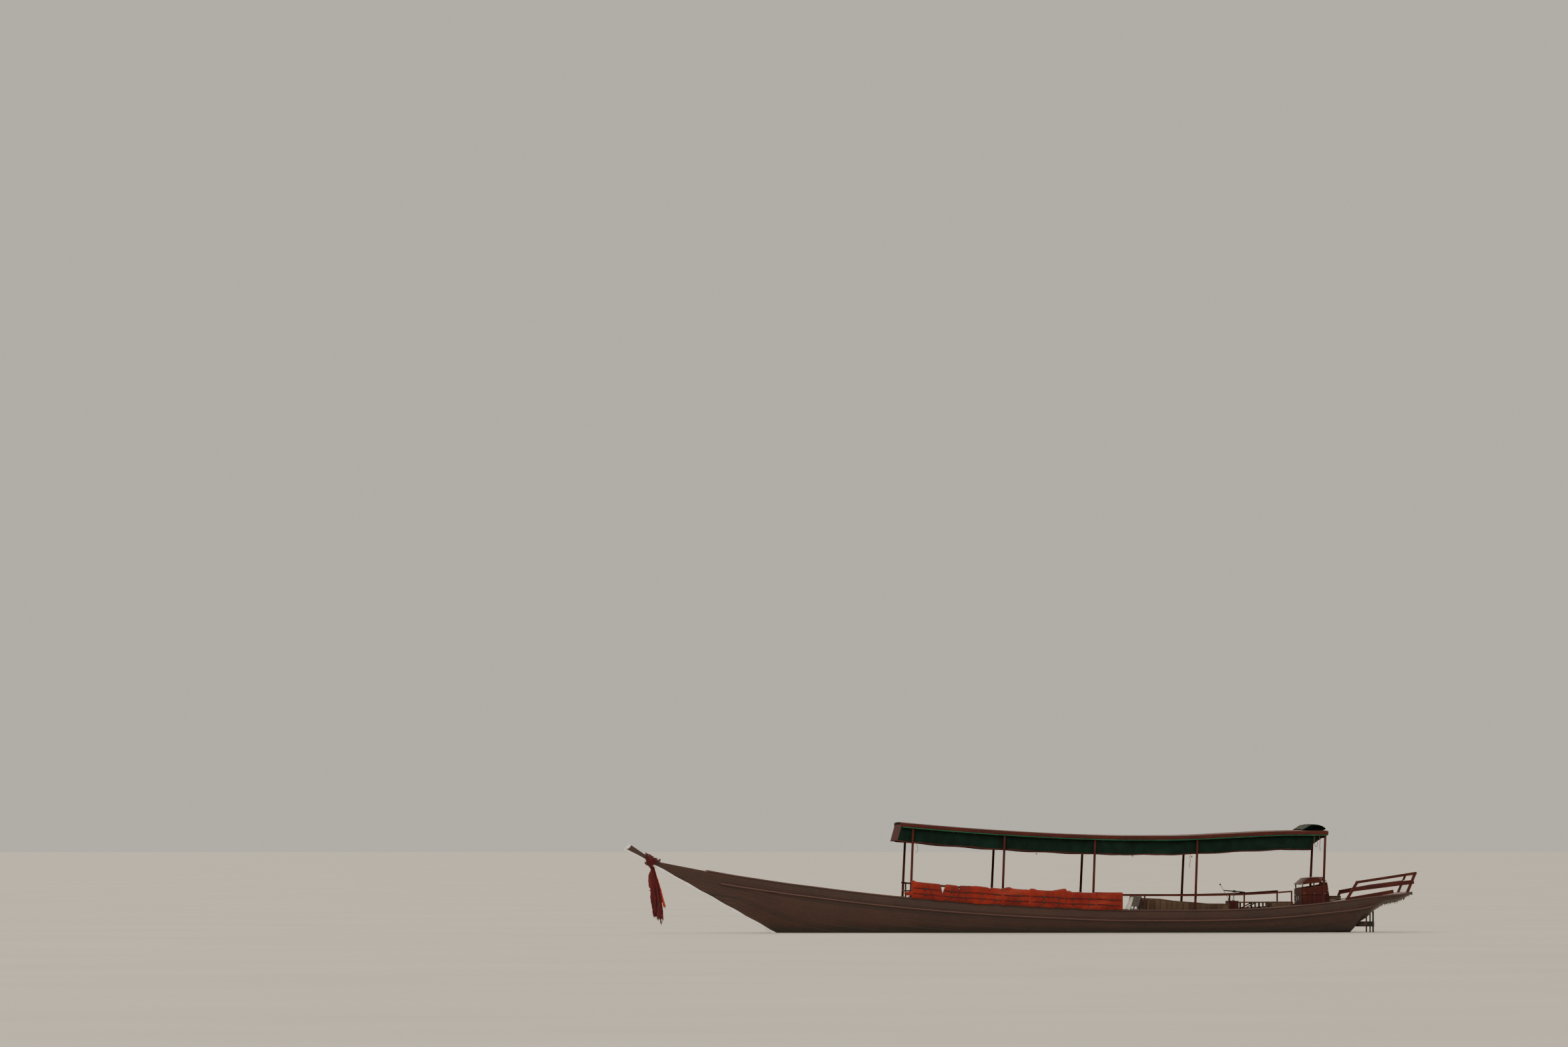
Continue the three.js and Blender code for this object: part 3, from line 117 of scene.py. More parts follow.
# Hull stations: x, keel line, top of the gunwale, half-breadth, fullness, flare
STATIONS = (
    (-6.720, 1.208, 1.334, 0.076, 1.15, 0.30), (-6.300, 0.974, 1.250, 0.130, 1.15, 0.30),
    (-5.850, 0.724, 1.162, 0.196, 1.18, 0.30), (-5.362, 0.451, 1.073, 0.270, 1.22, 0.28),
    (-4.874, 0.179, 0.997, 0.340, 1.28, 0.25), (-4.633, 0.045, 0.960, 0.375, 1.33, 0.24),
    (-4.300, -0.110, 0.912, 0.420, 1.42, 0.22), (-3.900, -0.208, 0.862, 0.475, 1.55, 0.20),
    (-3.409, -0.255, 0.798, 0.540, 1.75, 0.18), (-2.430, -0.270, 0.688, 0.628, 2.05, 0.15),
    (-1.078, -0.270, 0.570, 0.765, 2.40, 0.12), (0.281, -0.270, 0.490, 0.850, 2.60, 0.10),
    (1.897, -0.270, 0.430, 0.885, 2.70, 0.10), (3.000, -0.262, 0.427, 0.880, 2.70, 0.10),
    (4.029, -0.232, 0.443, 0.860, 2.70, 0.10), (5.000, -0.168, 0.500, 0.815, 2.60, 0.10),
    (5.617, -0.098, 0.562, 0.775, 2.60, 0.10), (6.000, -0.038, 0.604, 0.735, 2.50, 0.10),
    (6.200, 0.022, 0.630, 0.712, 2.40, 0.10), (6.292, 0.115, 0.642, 0.700, 2.30, 0.10),
    (6.375, 0.215, 0.653, 0.688, 2.30, 0.10), (6.514, 0.298, 0.668, 0.668, 2.30, 0.10),
    (6.636, 0.404, 0.682, 0.648, 2.30, 0.10), (6.835, 0.525, 0.701, 0.612, 2.30, 0.10),
    (7.070, 0.566, 0.722, 0.562, 2.30, 0.10), (7.293, 0.690, 0.757, 0.484, 2.30, 0.10),
)
ROOF_LINE = (
    (-2.380, 2.056), (-1.938, 2.015), (-0.952, 1.935), (0.294, 1.857), (1.046, 1.824), (1.924, 1.803),
    (2.678, 1.803), (3.684, 1.841), (4.568, 1.884), (5.012, 1.896), (5.684, 1.896),
)


def fair(table, column, x):
    """Monotone cubic through one column of a table."""
    last = len(table) - 1
    if x <= table[0][0]:
        return table[0][column]
    if x >= table[last][0]:
        return table[last][column]
    i = 0
    while table[i + 1][0] < x:
        i += 1

    def slope(j):
        return (table[j + 1][column] - table[j][column]) / (table[j + 1][0] - table[j][0])

    def tangent(j):
        if j == 0:
            return slope(0)
        if j == last:
            return slope(last - 1)
        before, after = slope(j - 1), slope(j)
        return 0 if before * after <= 0 else 2 * before * after / (before + after)

    span = table[i + 1][0] - table[i][0]
    t = (x - table[i][0]) / span
    h = (1 - t) * (1 - t)
    return (h * (1 + 2 * t) * table[i][column] + h * t * span * tangent(i)
            + t * t * (3 - 2 * t) * table[i + 1][column] + t * t * (t - 1) * span * tangent(i + 1))


def keel(x):
    return fair(STATIONS, 1, x)


def sheer(x):
    return fair(STATIONS, 2, x)


def half(x):
    return fair(STATIONS, 3, x)


def fullness(x):
    return fair(STATIONS, 4, x)


def flare(x):
    return fair(STATIONS, 5, x)


def floor_top(x):
    return max(FLOOR["top"], keel(x) + FLOOR["over_keel"])


def plank_thick(x):
    return min(PLANK, 0.35 * (half(x) - KEEL_HALF), 0.25 * (sheer(x) - keel(x)))


def skin(x, z, inset=0.0):
    """Half-breadth at height z, inset from the planking's outer face."""
    top = sheer(x) - CAP["thick"]
    low = keel(x) + inset * (1.1 + 1.6 * max(0, 2 - fullness(x)))
    u = min(1, max(0, (z - low) / (top - low)))
    n, f = fullness(x), flare(x)
    around = (1 - (1 - u) ** n) ** (1 / n)
    return KEEL_HALF + (half(x) - inset - KEEL_HALF) * ((1 - f) * around + f * u)


def inner(x, z):
    """Half-breadth at height z inside the ribs."""
    return skin(x, z, plank_thick(x) + RIB_DEEP)


SECTION_STEPS = 44


def section(x):
    """The planking's outer face at x as (y, z) points from keel to gunwale."""
    low, top = keel(x), sheer(x) - CAP["thick"]
    n, f, wide = fullness(x), flare(x), half(x) - KEEL_HALF
    points = []
    for i in range(SECTION_STEPS + 1):
        a = 0.5 * math.pi * i / SECTION_STEPS
        u = 1 - math.cos(a) ** (2 / n) if i < SECTION_STEPS else 1.0
        around = math.sin(a) ** (2 / n)
        points.append((KEEL_HALF + wide * ((1 - f) * around + f * u), low + (top - low) * u))
    return points


def along(points, shares):
    """Points and outward normals at shares of a section's length."""
    lengths = [0.0]
    for a, b in zip(points, points[1:]):
        lengths.append(lengths[-1] + math.dist(a, b))
    found = []
    i = 0
    for share in shares:
        s = min(max(share, 0), 1) * lengths[-1]
        while i < len(points) - 2 and lengths[i + 1] < s:
            i += 1
        while i > 0 and lengths[i] > s:
            i -= 1
        a, b = points[i], points[i + 1]
        t = (s - lengths[i]) / max(1e-9, lengths[i + 1] - lengths[i])
        dy, dz = b[0] - a[0], b[1] - a[1]
        size = math.hypot(dy, dz) or 1
        found.append(((a[0] + dy * t, a[1] + dz * t), (dz / size, -dy / size)))
    return found, lengths[-1]


def roof_line(x):
    return fair(ROOF_LINE, 1, x)


HOOPS = []
for foot_x in (-2.121, -0.435, 1.245, 3.160, 5.580):
    rise = roof_line(foot_x) - sheer(foot_x) - CROSS["top"]
    HOOPS.append({"x": foot_x, "y": half(foot_x) - POST["inboard"], "top_x": foot_x + POST["rake"] * rise})
ROOF_PLAN = tuple((place["top_x"], place["y"]) for place in HOOPS)


def roof_half(x):
    return fair(ROOF_PLAN, 1, x)


def camber(t):
    return ROOF["crown"] * (1 - t * t) - ROOF["edge"] * t * t


def rail_top(x):
    return sheer(x) + RAIL["height"]


def rail_inner(x):
    return half(x) - POST["inboard"] - POST["lean"] * RAIL["height"] / 1.360 + RAIL["from_post"]


def steps(start, end, pitch):
    count = max(1, round((end - start) / pitch))
    return [start + (end - start) * i / count for i in range(count + 1)]


SIDES = (("port", -1), ("starboard", 1))
LENGTHS = ("fore", "middle", "aft")


# Meshes
def smooth_path(stops, count=24):
    """Catmull-Rom points through the stops."""
    stops = [Vector(p) for p in stops]
    ends = [2 * stops[0] - stops[1], *stops, 2 * stops[-1] - stops[-2]]
    found = []
    spans = len(stops) - 1
    for i in range(count + 1):
        u = i * spans / count
        k = min(int(u), spans - 1)
        t = u - k
        a, b, c, d = ends[k:k + 4]
        found.append(0.5 * ((2 * b) + (c - a) * t + (2 * a - 5 * b + 4 * c - d) * t * t
                            + (3 * b - a - 3 * c + d) * t * t * t))
    return [tuple(p) for p in found]


class Build:
    """Points and faces of one piece."""

    def __init__(self):
        self.points = []
        self.faces = []

    def add(self, points, faces):
        start = len(self.points)
        self.points += [tuple(p) for p in points]
        self.faces += [tuple(start + i for i in face) for face in faces]

    def loft(self, rings, caps=True):
        count = len(rings[0])
        points = [p for ring in rings for p in ring]
        faces = []
        for i in range(len(rings) - 1):
            for j in range(count):
                k = (j + 1) % count
                faces.append((i * count + j, i * count + k, (i + 1) * count + k, (i + 1) * count + j))
        if caps:
            faces.append(tuple(reversed(range(count))))
            faces.append(tuple((len(rings) - 1) * count + j for j in range(count)))
        self.add(points, faces)

    def box(self, low, high):
        (x0, y0, z0), (x1, y1, z1) = low, high
        self.loft([[(x, y0, z0), (x, y1, z0), (x, y1, z1), (x, y0, z1)] for x in (x0, x1)])

    def tube(self, path, radius, sides=12, closed=False):
        """A round bar along a path; radius is a number or a function of the share of its length."""
        path = [Vector(p) for p in path]
        count = len(path)
        side = None
        rings = []
        for i, p in enumerate(path):
            before = path[i - 1] if i or closed else path[0]
            after = path[(i + 1) % count] if i + 1 < count or closed else path[-1]
            ahead = (after - before).normalized()
            if side is None:
                side = ahead.orthogonal().normalized()
            side = (side - ahead * side.dot(ahead)).normalized()
            up = ahead.cross(side)
            r = radius(i / max(1, count - 1)) if callable(radius) else radius
            turns = [2 * math.pi * j / sides for j in range(sides)]
            rings.append([p + side * (r * math.cos(a)) + up * (r * math.sin(a)) for a in turns])
        if closed:
            rings.append(rings[0])
        self.loft(rings, caps=not closed)

    def lathe(self, at, axis, profile, sides=20):
        """A turned shape: (radius, height) points about an axis through a point."""
        at, axis = Vector(at), Vector(axis).normalized()
        side = axis.orthogonal().normalized()
        up = axis.cross(side)
        turns = [2 * math.pi * i / sides for i in range(sides)]
        self.loft([[at + axis * h + side * (r * math.cos(a)) + up * (r * math.sin(a)) for a in turns]
                   for r, h in profile])

    def plate(self, outline, y0, y1):
        """A board with an outline of (x, z) points, between two values of y."""
        self.loft([[(x, y, z) for x, z in outline] for y in (y0, y1)])

    def bolt(self, at, axis, radius=0.007):
        """A domed head on a washer."""
        self.lathe(at, axis, ((1.7 * radius, -0.0008), (1.7 * radius, 0.0012), (radius, 0.0014),
                              (0.95 * radius, 0.0042), (0.45 * radius, 0.0062)), sides=10)

    def piece(self, name, material, body=HULL, bevel=0.0, angle=35):
        mesh = bpy.data.meshes.new(name)
        mesh.from_pydata(self.points, [], self.faces)
        work = bmesh.new()
        work.from_mesh(mesh)
        bmesh.ops.recalc_face_normals(work, faces=work.faces)
        work.to_mesh(mesh)
        work.free()
        mesh.shade_smooth()
        mesh.set_sharp_from_angle(angle=math.radians(angle))
        piece = bpy.data.objects.new(name, mesh)
        scene.collection.objects.link(piece)
        mesh.materials.append(material)
        if bevel:
            round_edges(piece, bevel)
        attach(piece, body)
        return piece


EDGE = {"segments": 2, "angle": 40}


def round_edges(piece, width):
    bevel = piece.modifiers.new("edges", "BEVEL")
    bevel.width = width
    bevel.segments = EDGE["segments"]
    bevel.limit_method = "ANGLE"
    bevel.angle_limit = math.radians(EDGE["angle"])
    bevel.harden_normals = False


CORNER_STEPS = 3


def rounded(y0, y1, z0, z1, radius):
    """A rectangle with round corners, as (y, z) points."""
    y0, y1 = min(y0, y1), max(y0, y1)
    corners = ((y1 - radius, z0 + radius, -90), (y1 - radius, z1 - radius, 0),
               (y0 + radius, z1 - radius, 90), (y0 + radius, z0 + radius, 180))
    points = []
    for y, z, start in corners:
        for i in range(CORNER_STEPS + 1):
            a = math.radians(start + 90 * i / CORNER_STEPS)
            points.append((y + radius * math.cos(a), z + radius * math.sin(a)))
    return points


# Materials
class Look:
    """A node material under construction."""

    def __init__(self, name, **sockets):
        self.material = bpy.data.materials.new(name)
        self.material.use_nodes = True
        self.tree = self.material.node_tree
        self.shader = self.tree.nodes["Principled BSDF"]
        for key, value in sockets.items():
            self.shader.inputs[key.replace("_", " ")].default_value = value
        self.where = self.node("ShaderNodeTexCoord").outputs["Object"]

    def node(self, kind, settings=None, **inputs):
        node = self.tree.nodes.new(kind)
        for key, value in (settings or {}).items():
            setattr(node, key, value)
        for key, value in inputs.items():
            self.feed(node.inputs[key.replace("_", " ")], value)
        return node

    def feed(self, socket, value):
        if isinstance(value, bpy.types.NodeSocket):
            self.tree.links.new(value, socket)
        else:
            socket.default_value = value

    def stretched(self, scale):
        return self.node("ShaderNodeMapping", Vector=self.where, Scale=scale).outputs[0]

    def noise(self, scale, stretch=(1, 1, 1), detail=4.0, rough=0.55, bend=0.0):
        return self.node("ShaderNodeTexNoise", Vector=self.stretched(stretch), Scale=scale, Detail=detail,
                         Roughness=rough, Distortion=bend).outputs["Fac"]

    def bands(self, scale, direction):
        return self.node("ShaderNodeTexWave", {"bands_direction": direction}, Vector=self.where,
                         Scale=scale).outputs["Fac"]

    def maths(self, operation, a, b=0.0):
        node = self.tree.nodes.new("ShaderNodeMath")
        node.operation = operation
        self.feed(node.inputs[0], a)
        self.feed(node.inputs[1], b)
        return node.outputs[0]

    def between(self, value, low, high, out_low=0.0, out_high=1.0):
        node = self.node("ShaderNodeMapRange", {"interpolation_type": "SMOOTHSTEP"}, Value=value)
        for socket, number in zip(node.inputs[1:5], (low, high, out_low, out_high)):
            socket.default_value = number
        return node.outputs[0]

    def ramp(self, fac, *stops):
        node = self.node("ShaderNodeValToRGB", Fac=fac)
        elements = node.color_ramp.elements
        while len(elements) < len(stops):
            elements.new(0.5)
        for element, (place, colour) in zip(elements, stops):
            element.position = place
            element.color = (*colour, 1)
        return node.outputs[0]

    def mix(self, fac, a, b):
        node = self.node("ShaderNodeMix", {"data_type": "RGBA"})
        self.feed(node.inputs[0], fac)
        self.feed(node.inputs[6], a if isinstance(a, bpy.types.NodeSocket) else (*a, 1))
        self.feed(node.inputs[7], b if isinstance(b, bpy.types.NodeSocket) else (*b, 1))
        return node.outputs[2]

    def height(self):
        return self.node("ShaderNodeSeparateXYZ", Vector=self.where).outputs["Z"]

    def island(self):
        return self.node("ShaderNodeNewGeometry").outputs["Random Per Island"]

    def done(self, colour, rough, relief=None, strength=0.3, distance=0.002):
        self.feed(self.shader.inputs["Base Color"], colour)
        self.feed(self.shader.inputs["Roughness"], rough)
        if relief is not None:
            bump = self.node("ShaderNodeBump", Height=relief, Strength=strength, Distance=distance)
            self.tree.links.new(bump.outputs[0], self.shader.inputs["Normal"])
        return self.material


ALONG_X, ALONG_Y, ALONG_Z = (1.4, 26, 26), (26, 1.4, 26), (26, 26, 1.4)


WOOD_ROUGH = (0.38, 0.62)
CLOTH_GLOSS = 0.12


def wood(name, light, dark, grain=ALONG_X, coat=0.0, worn=None, worn_from=0.64,
         tone=0.35, waterline=False):
    """Wood with grain, board-to-board tone, wear and, on the hull, a dark wet band at the water."""
    look = Look(name, Coat_Weight=coat, Coat_Roughness=0.22, Specular_IOR_Level=0.5 if coat else 0.12)
    fibre = look.noise(3.2, grain, detail=8.0, rough=0.62, bend=0.35)
    patches = look.noise(1.7, (1, 1.6, 1.6), detail=3.0)
    figure = look.maths("MULTIPLY_ADD", patches, 0.35)
    look.feed(look.tree.nodes[-1].inputs[2], look.maths("MULTIPLY", fibre, 0.65))
    shade = look.maths("MULTIPLY_ADD", look.island(), tone)
    look.feed(look.tree.nodes[-1].inputs[2], look.maths("SUBTRACT", figure, 0.5 * tone))
    middle = tuple(0.5 * (a + b) for a, b in zip(light, dark))
    colour = look.ramp(shade, (0.30, dark), (0.48, middle), (0.70, light))
    roughness = look.between(fibre, 0.3, 0.7, WOOD_ROUGH[1], WOOD_ROUGH[0])
    if worn:
        rubbed = look.noise(5.5, tuple(0.45 * s + 0.8 for s in grain), detail=6.0, rough=0.7)
        mask = look.between(rubbed, worn_from, worn_from + 0.10)
        colour = look.mix(mask, colour, worn)
    if waterline:
        z = look.height()
        edge = look.maths("ADD", z, look.maths("MULTIPLY", look.noise(2.6, (1, 1, 0.3)), -0.16))
        wet = look.between(edge, 0.10, -0.06)
        streaks = look.between(look.noise(4.0, (9, 9, 0.5), detail=5.0), 0.55, 0.75)
        colour = look.mix(look.maths("MULTIPLY", streaks, 0.30), colour, (0.020, 0.009, 0.006))
        colour = look.mix(look.maths("MULTIPLY", wet, 0.8), colour, (0.012, 0.012, 0.008))
        roughness = look.between(edge, -0.02, 0.16, 0.25, 0.5)
    return look.done(colour, roughness, fibre, 0.45, 0.0015)


def paint(name, colour, dark, bare, grain=ALONG_X, chipped_from=0.70, rough=(0.60, 0.80), gloss=0.14):
    """Brushed paint over wood, chipped in places."""
    look = Look(name, Specular_IOR_Level=gloss)
    brush = look.noise(4.0, grain, detail=6.0)
    dirt = look.noise(2.3, detail=6.0, rough=0.65)
    shade = look.maths("ADD", look.maths("MULTIPLY", brush, 0.4), look.maths("MULTIPLY", dirt, 0.6))
    tone = look.ramp(shade, (0.36, dark), (0.62, colour))
    chips = look.noise(13.0, tuple(0.30 * s + 0.7 for s in grain), detail=9.0, rough=0.72)
    mask = look.between(chips, chipped_from, chipped_from + 0.025)
    both = look.mix(mask, tone, bare)
    relief = look.maths("SUBTRACT", look.maths("MULTIPLY", brush, 0.35), mask)
    return look.done(both, look.between(dirt, 0.3, 0.7, rough[0], rough[1]), relief, 0.3, 0.001)


def metal(name, colour, dark, rough=(0.3, 0.55), metallic=1.0, rust=None, rust_from=0.6):
    look = Look(name, Metallic=metallic)
    grime = look.noise(7.0, detail=7.0, rough=0.65)
    scratch = look.noise(30.0, (4, 30, 30), detail=4.0)
    tone = look.ramp(grime, (0.35, dark), (0.65, colour))
    if rust:
        mask = look.between(look.noise(11.0, detail=8.0, rough=0.7), rust_from, rust_from + 0.08)
        tone = look.mix(mask, tone, rust)
        look.feed(look.shader.inputs["Metallic"], look.between(mask, 0.0, 1.0, metallic, 0.1))
    return look.done(tone, look.between(grime, 0.3, 0.7, rough[1], rough[0]), scratch, 0.15, 0.0006)


def fabric(name, light, dark, weave=420.0, sheen=0.3, rough=(0.72, 0.92), faded=None, clear=0.0, folds=0.25):
    """Woven cloth: fine threads, soft creases with painted shade darkening their hollows, dust and fading."""
    look = Look(name, Sheen_Weight=sheen, Sheen_Roughness=0.5, Transmission_Weight=clear,
                Specular_IOR_Level=CLOTH_GLOSS)
    warp, weft = look.bands(weave, "X"), look.bands(weave, "Z")
    threads = look.maths("MULTIPLY", warp, weft)
    crease = look.noise(7.0, (1, 1.5, 0.6), detail=5.0, bend=0.6)
    dust = look.noise(2.2, detail=5.0)
    # colour is half dust and half painted shade: the crease noise that dents the surface also darkens its
    # hollows
    shade = look.maths("ADD", look.maths("MULTIPLY", crease, 0.5), look.maths("MULTIPLY", dust, 0.5))
    tone = look.ramp(shade, (0.34, dark), (0.66, light))
    if faded:
        patches = look.noise(1.3, (1, 1, 2), detail=4.0)
        tone = look.mix(look.between(patches, 0.52, 0.72, 0.0, 0.7), tone, faded)
    relief = look.maths("ADD", look.maths("MULTIPLY", threads, 0.15), crease)
    return look.done(tone, look.between(dust, 0.3, 0.7, rough[0], rough[1]), relief, folds, 0.006)


MAHOGANY = (0.062, 0.021, 0.012)
DARK_WOOD = (0.020, 0.009, 0.006)
GREY_WOOD = (0.135, 0.085, 0.054)
RED_BROWN = (0.092, 0.021, 0.015)
DARK_RED = (0.040, 0.011, 0.009)
BARE_WOOD = (0.120, 0.072, 0.042)

LOOKS = {
    "hull": wood("hull_wood", MAHOGANY, DARK_WOOD, coat=0.30, worn=(0.078, 0.043, 0.028), worn_from=0.72,
                 tone=0.16, waterline=True),
    "keel": wood("keel_wood", (0.052, 0.019, 0.011), DARK_WOOD, coat=0.2, worn=(0.085, 0.048, 0.032),
                 tone=0.1, waterline=True),
    "trim": wood("trim_wood", (0.082, 0.027, 0.015), (0.036, 0.013, 0.009), coat=0.25,
                 worn=(0.120, 0.070, 0.042), worn_from=0.66, tone=0.12),
    "deck": wood("deck_wood", GREY_WOOD, (0.055, 0.032, 0.021), worn=(0.19, 0.140, 0.098), worn_from=0.62,
                 tone=0.3),
    "cross": wood("cross_wood", (0.088, 0.052, 0.033), (0.036, 0.020, 0.013), grain=ALONG_Y,
                  worn=(0.130, 0.092, 0.064), worn_from=0.64, tone=0.3),
    "upright": wood("upright_wood", GREY_WOOD, (0.055, 0.032, 0.021), grain=ALONG_Z, tone=0.3),
    "frame": wood("frame_wood", (0.098, 0.052, 0.029), (0.036, 0.019, 0.012), grain=ALONG_Y),
    "paint": paint("red_paint", RED_BROWN, DARK_RED, BARE_WOOD),
    "post": paint("post_paint", RED_BROWN, DARK_RED, BARE_WOOD, grain=ALONG_Z),
    "crosswise": paint("cross_paint", RED_BROWN, DARK_RED, BARE_WOOD, grain=ALONG_Y),
    "fascia": paint("fascia_paint", RED_BROWN, DARK_RED, BARE_WOOD, grain=ALONG_Y, rough=(0.8, 0.95),
                    gloss=0.12),
    "roof": paint("roof_paint", (0.080, 0.027, 0.019), (0.038, 0.015, 0.011), (0.105, 0.070, 0.050),
                  chipped_from=0.68, rough=(0.6, 0.82), gloss=0.3),
    # cream paint, made this pale partly as a painted highlight for the sun's glare on the aft boards
    "cream": paint("cream_paint_and_glare", (0.90, 0.87, 0.79), (0.66, 0.60, 0.50), (0.16, 0.10, 0.065), grain=ALONG_Z,
                   chipped_from=0.68),
    "tarp": fabric("green_tarp", (0.0070, 0.0250, 0.0150), (0.0025, 0.0080, 0.0055), weave=300.0, sheen=0.0,
                   rough=(0.75, 0.92), faded=(0.0120, 0.0340, 0.0220), folds=0.4),
    # green tarp edge, drawn bright: its brightness is a painted highlight for light glowing through the tarp
    "line": fabric("green_piping_glow", (0.014, 0.150, 0.070), (0.008, 0.075, 0.040), sheen=0.1),
    "hem": fabric("hem_tape", (0.080, 0.019, 0.014), (0.034, 0.009, 0.008)),
    # jacket colour is darker than the jackets' real bright orange: partly painted shade of the backlit row
    "jacket": fabric("jacket_cloth", (0.270, 0.026, 0.014), (0.115, 0.011, 0.008), sheen=0.2,
                     faded=(0.320, 0.048, 0.026)),
    "jacket_dark": fabric("jacket_lining", (0.120, 0.014, 0.012), (0.055, 0.008, 0.008), sheen=0.2),
    "sash": fabric("red_sash", (0.120, 0.008, 0.009), (0.042, 0.004, 0.005), sheen=0.3, rough=(0.55, 0.8)),
    "sash_edge": fabric("sash_bright", (0.560, 0.050, 0.018), (0.340, 0.018, 0.012), sheen=0.3),
    "flowers": fabric("flower_strand", (0.160, 0.014, 0.010), (0.060, 0.006, 0.006), weave=160.0, folds=0.6),
    "scrap": fabric("clear_scrap", (0.86, 0.82, 0.74), (0.66, 0.60, 0.50), sheen=0.0, rough=(0.25, 0.45),
                    clear=0.55, folds=0.5),
    "rope": fabric("rope", (0.20, 0.145, 0.090), (0.085, 0.060, 0.038), weave=600.0),
    "weed": fabric("weed", (0.070, 0.095, 0.034), (0.024, 0.038, 0.015), weave=90.0, folds=0.6),
    "steel": metal("steel", (0.36, 0.37, 0.38), (0.16, 0.16, 0.17),
                   rust=(0.15, 0.060, 0.030), rust_from=0.66),
    # pale stem band: a painted highlight standing for sunlit glare on the stem's lower edge and tip
    "band": metal("stem_glare_band", (0.93, 0.91, 0.86), (0.74, 0.70, 0.62), rough=(0.25, 0.45), metallic=0.2,
                  rust=(0.42, 0.30, 0.20), rust_from=0.74),
    "bronze": metal("bronze", (0.50, 0.30, 0.12), (0.20, 0.13, 0.06),
                    rust=(0.09, 0.20, 0.15), rust_from=0.62),
    "iron": metal("iron", (0.045, 0.041, 0.038), (0.018, 0.016, 0.014), rough=(0.5, 0.75), metallic=0.6,
                  rust=(0.095, 0.036, 0.018), rust_from=0.52),
    "rubber": metal("black_rubber", (0.026, 0.026, 0.026), (0.012, 0.012, 0.012), rough=(0.45, 0.65),
                    metallic=0.0),
    "ivory": metal("dial_plate", (0.60, 0.58, 0.51), (0.45, 0.42, 0.35), rough=(0.25, 0.4), metallic=0.0),
}


# Hull
STRAKES = 9
NARROWEST = 0.075            # strakes that would get narrower than this run out on the keel
SEAM = 0.0038                # chamfer on the planks' outer edges
BOARD_GAP = 0.0016           # half the gap between two deck boards
BUTT = 0.0012
PLANK_RUN = 3.4              # length of one plank
HULL_ENDS = (-6.720, 7.293)


def strake_share(girth, j):
    """Share of the girth at the upper edge of strake j, counted down from the gunwale."""
    width = max(girth / STRAKES, NARROWEST)
    return max(0.0, 1 - j * width / girth) if j < STRAKES else 0.0


def plank_ring(x, points, girth, low, high, sign):
    chamfer = min(SEAM, 0.2 * (high - low) * girth) / girth
    shares = (low, low + chamfer, low + (high - low) / 3, low + 2 * (high - low) / 3, high - chamfer, high)
    outer, _ = along(points, shares)
    depths = (SEAM, 0, 0, 0, 0, SEAM)
    thick = plank_thick(x)
    ring = [(x, sign * (y - n[0] * d), z - n[1] * d) for ((y, z), n), d in zip(outer, depths)]
    for (y, z), n in (outer[5], outer[0]):
        ring.append((x, sign * max(0.004, y - n[0] * thick), z - n[1] * thick))
    return ring


def planking(name, sign):
    """One side's planks: run strake by strake, with chamfered seams and staggered butts."""
    build = Build()
    chance = random.Random(11)
    sections = []
    for x in steps(*HULL_ENDS, 0.085):
        points = section(x)
        sections.append((x, points, along(points, (0,))[1]))
    for j in range(STRAKES):
        rows = []
        for x, points, girth in sections:
            low, high = strake_share(girth, j + 1), strake_share(girth, j)
            if (high - low) * girth > 0.012:
                rows.append((x, points, girth, low, high))
        start, end = rows[0][0], rows[-1][0]
        butt = start + PLANK_RUN * (0.35 + 0.65 * chance.random())
        run = []
        for row in rows:
            run.append(row)
            if row[0] > butt and row[0] < end - 0.9:
                build.loft([plank_ring(*r, sign) for r in run])
                x, points, girth, low, high = row
                run = [(x + BUTT, points, girth, low, high)]
                butt += PLANK_RUN * (0.8 + 0.4 * chance.random())
        if len(run) > 1:
            build.loft([plank_ring(*r, sign) for r in run])
    piece = build.piece(f"planking_{name}", LOOKS["hull"], angle=28)
    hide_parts(*(f"hull_planking_{name}_{part}" for part in LENGTHS))
    return piece


STRIP_JOINT = 0.001


def long_strip(build, start, end, ring, pitch=0.10, lengths=1):
    """Lofts ring(x) from start to end, cut into equal lengths with fine joints."""
    span = (end - start) / lengths
    for i in range(lengths):
        a = start + i * span + (STRIP_JOINT if i else 0)
        build.loft([ring(x) for x in steps(a, start + (i + 1) * span, pitch)])


def gunwale(name, sign):
    build = Build()

    def ring(x):
        y0, y1 = sign * (half(x) - CAP["inboard"]), sign * (half(x) + CAP["proud"])
        return [(x, y, z) for y, z in rounded(y0, y1, sheer(x) - CAP["thick"], sheer(x), 0.007)]

    long_strip(build, CAP["start"], CAP["end"], ring, lengths=4)
    piece = build.piece(f"cap_{name}", LOOKS["trim"], angle=50)
    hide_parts(f"gunwale_{name}")


def rub_rail(name, sign):
    build = Build()

    def ring(x):
        low, top = keel(x), sheer(x) - CAP["thick"]
        z0 = max(sheer(x) - RUB["bottom"], low + 0.5 * (top - low))
        z1 = max(sheer(x) - RUB["top"], low + 0.62 * (top - low))
        a, b = skin(x, z0), skin(x, z1)
        middle, out, h = 0.5 * (a + b), RUB["proud"], z1 - z0
        arc = [(middle + out * math.cos(t) ** 0.6, 0.5 * (z0 + z1) + 0.5 * h * math.sin(t))
               for t in (-1.25, -0.8, -0.4, 0, 0.4, 0.8, 1.25)]
        return [(x, sign * y, z) for y, z in [(a - 0.001, z0), *arc, (b - 0.001, z1)]]

    long_strip(build, RUB["start"], RUB["end"], ring, lengths=3)
    piece = build.piece(f"rub_strip_{name}", LOOKS["trim"], angle=60)
    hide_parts(f"rub_rail_{name}")


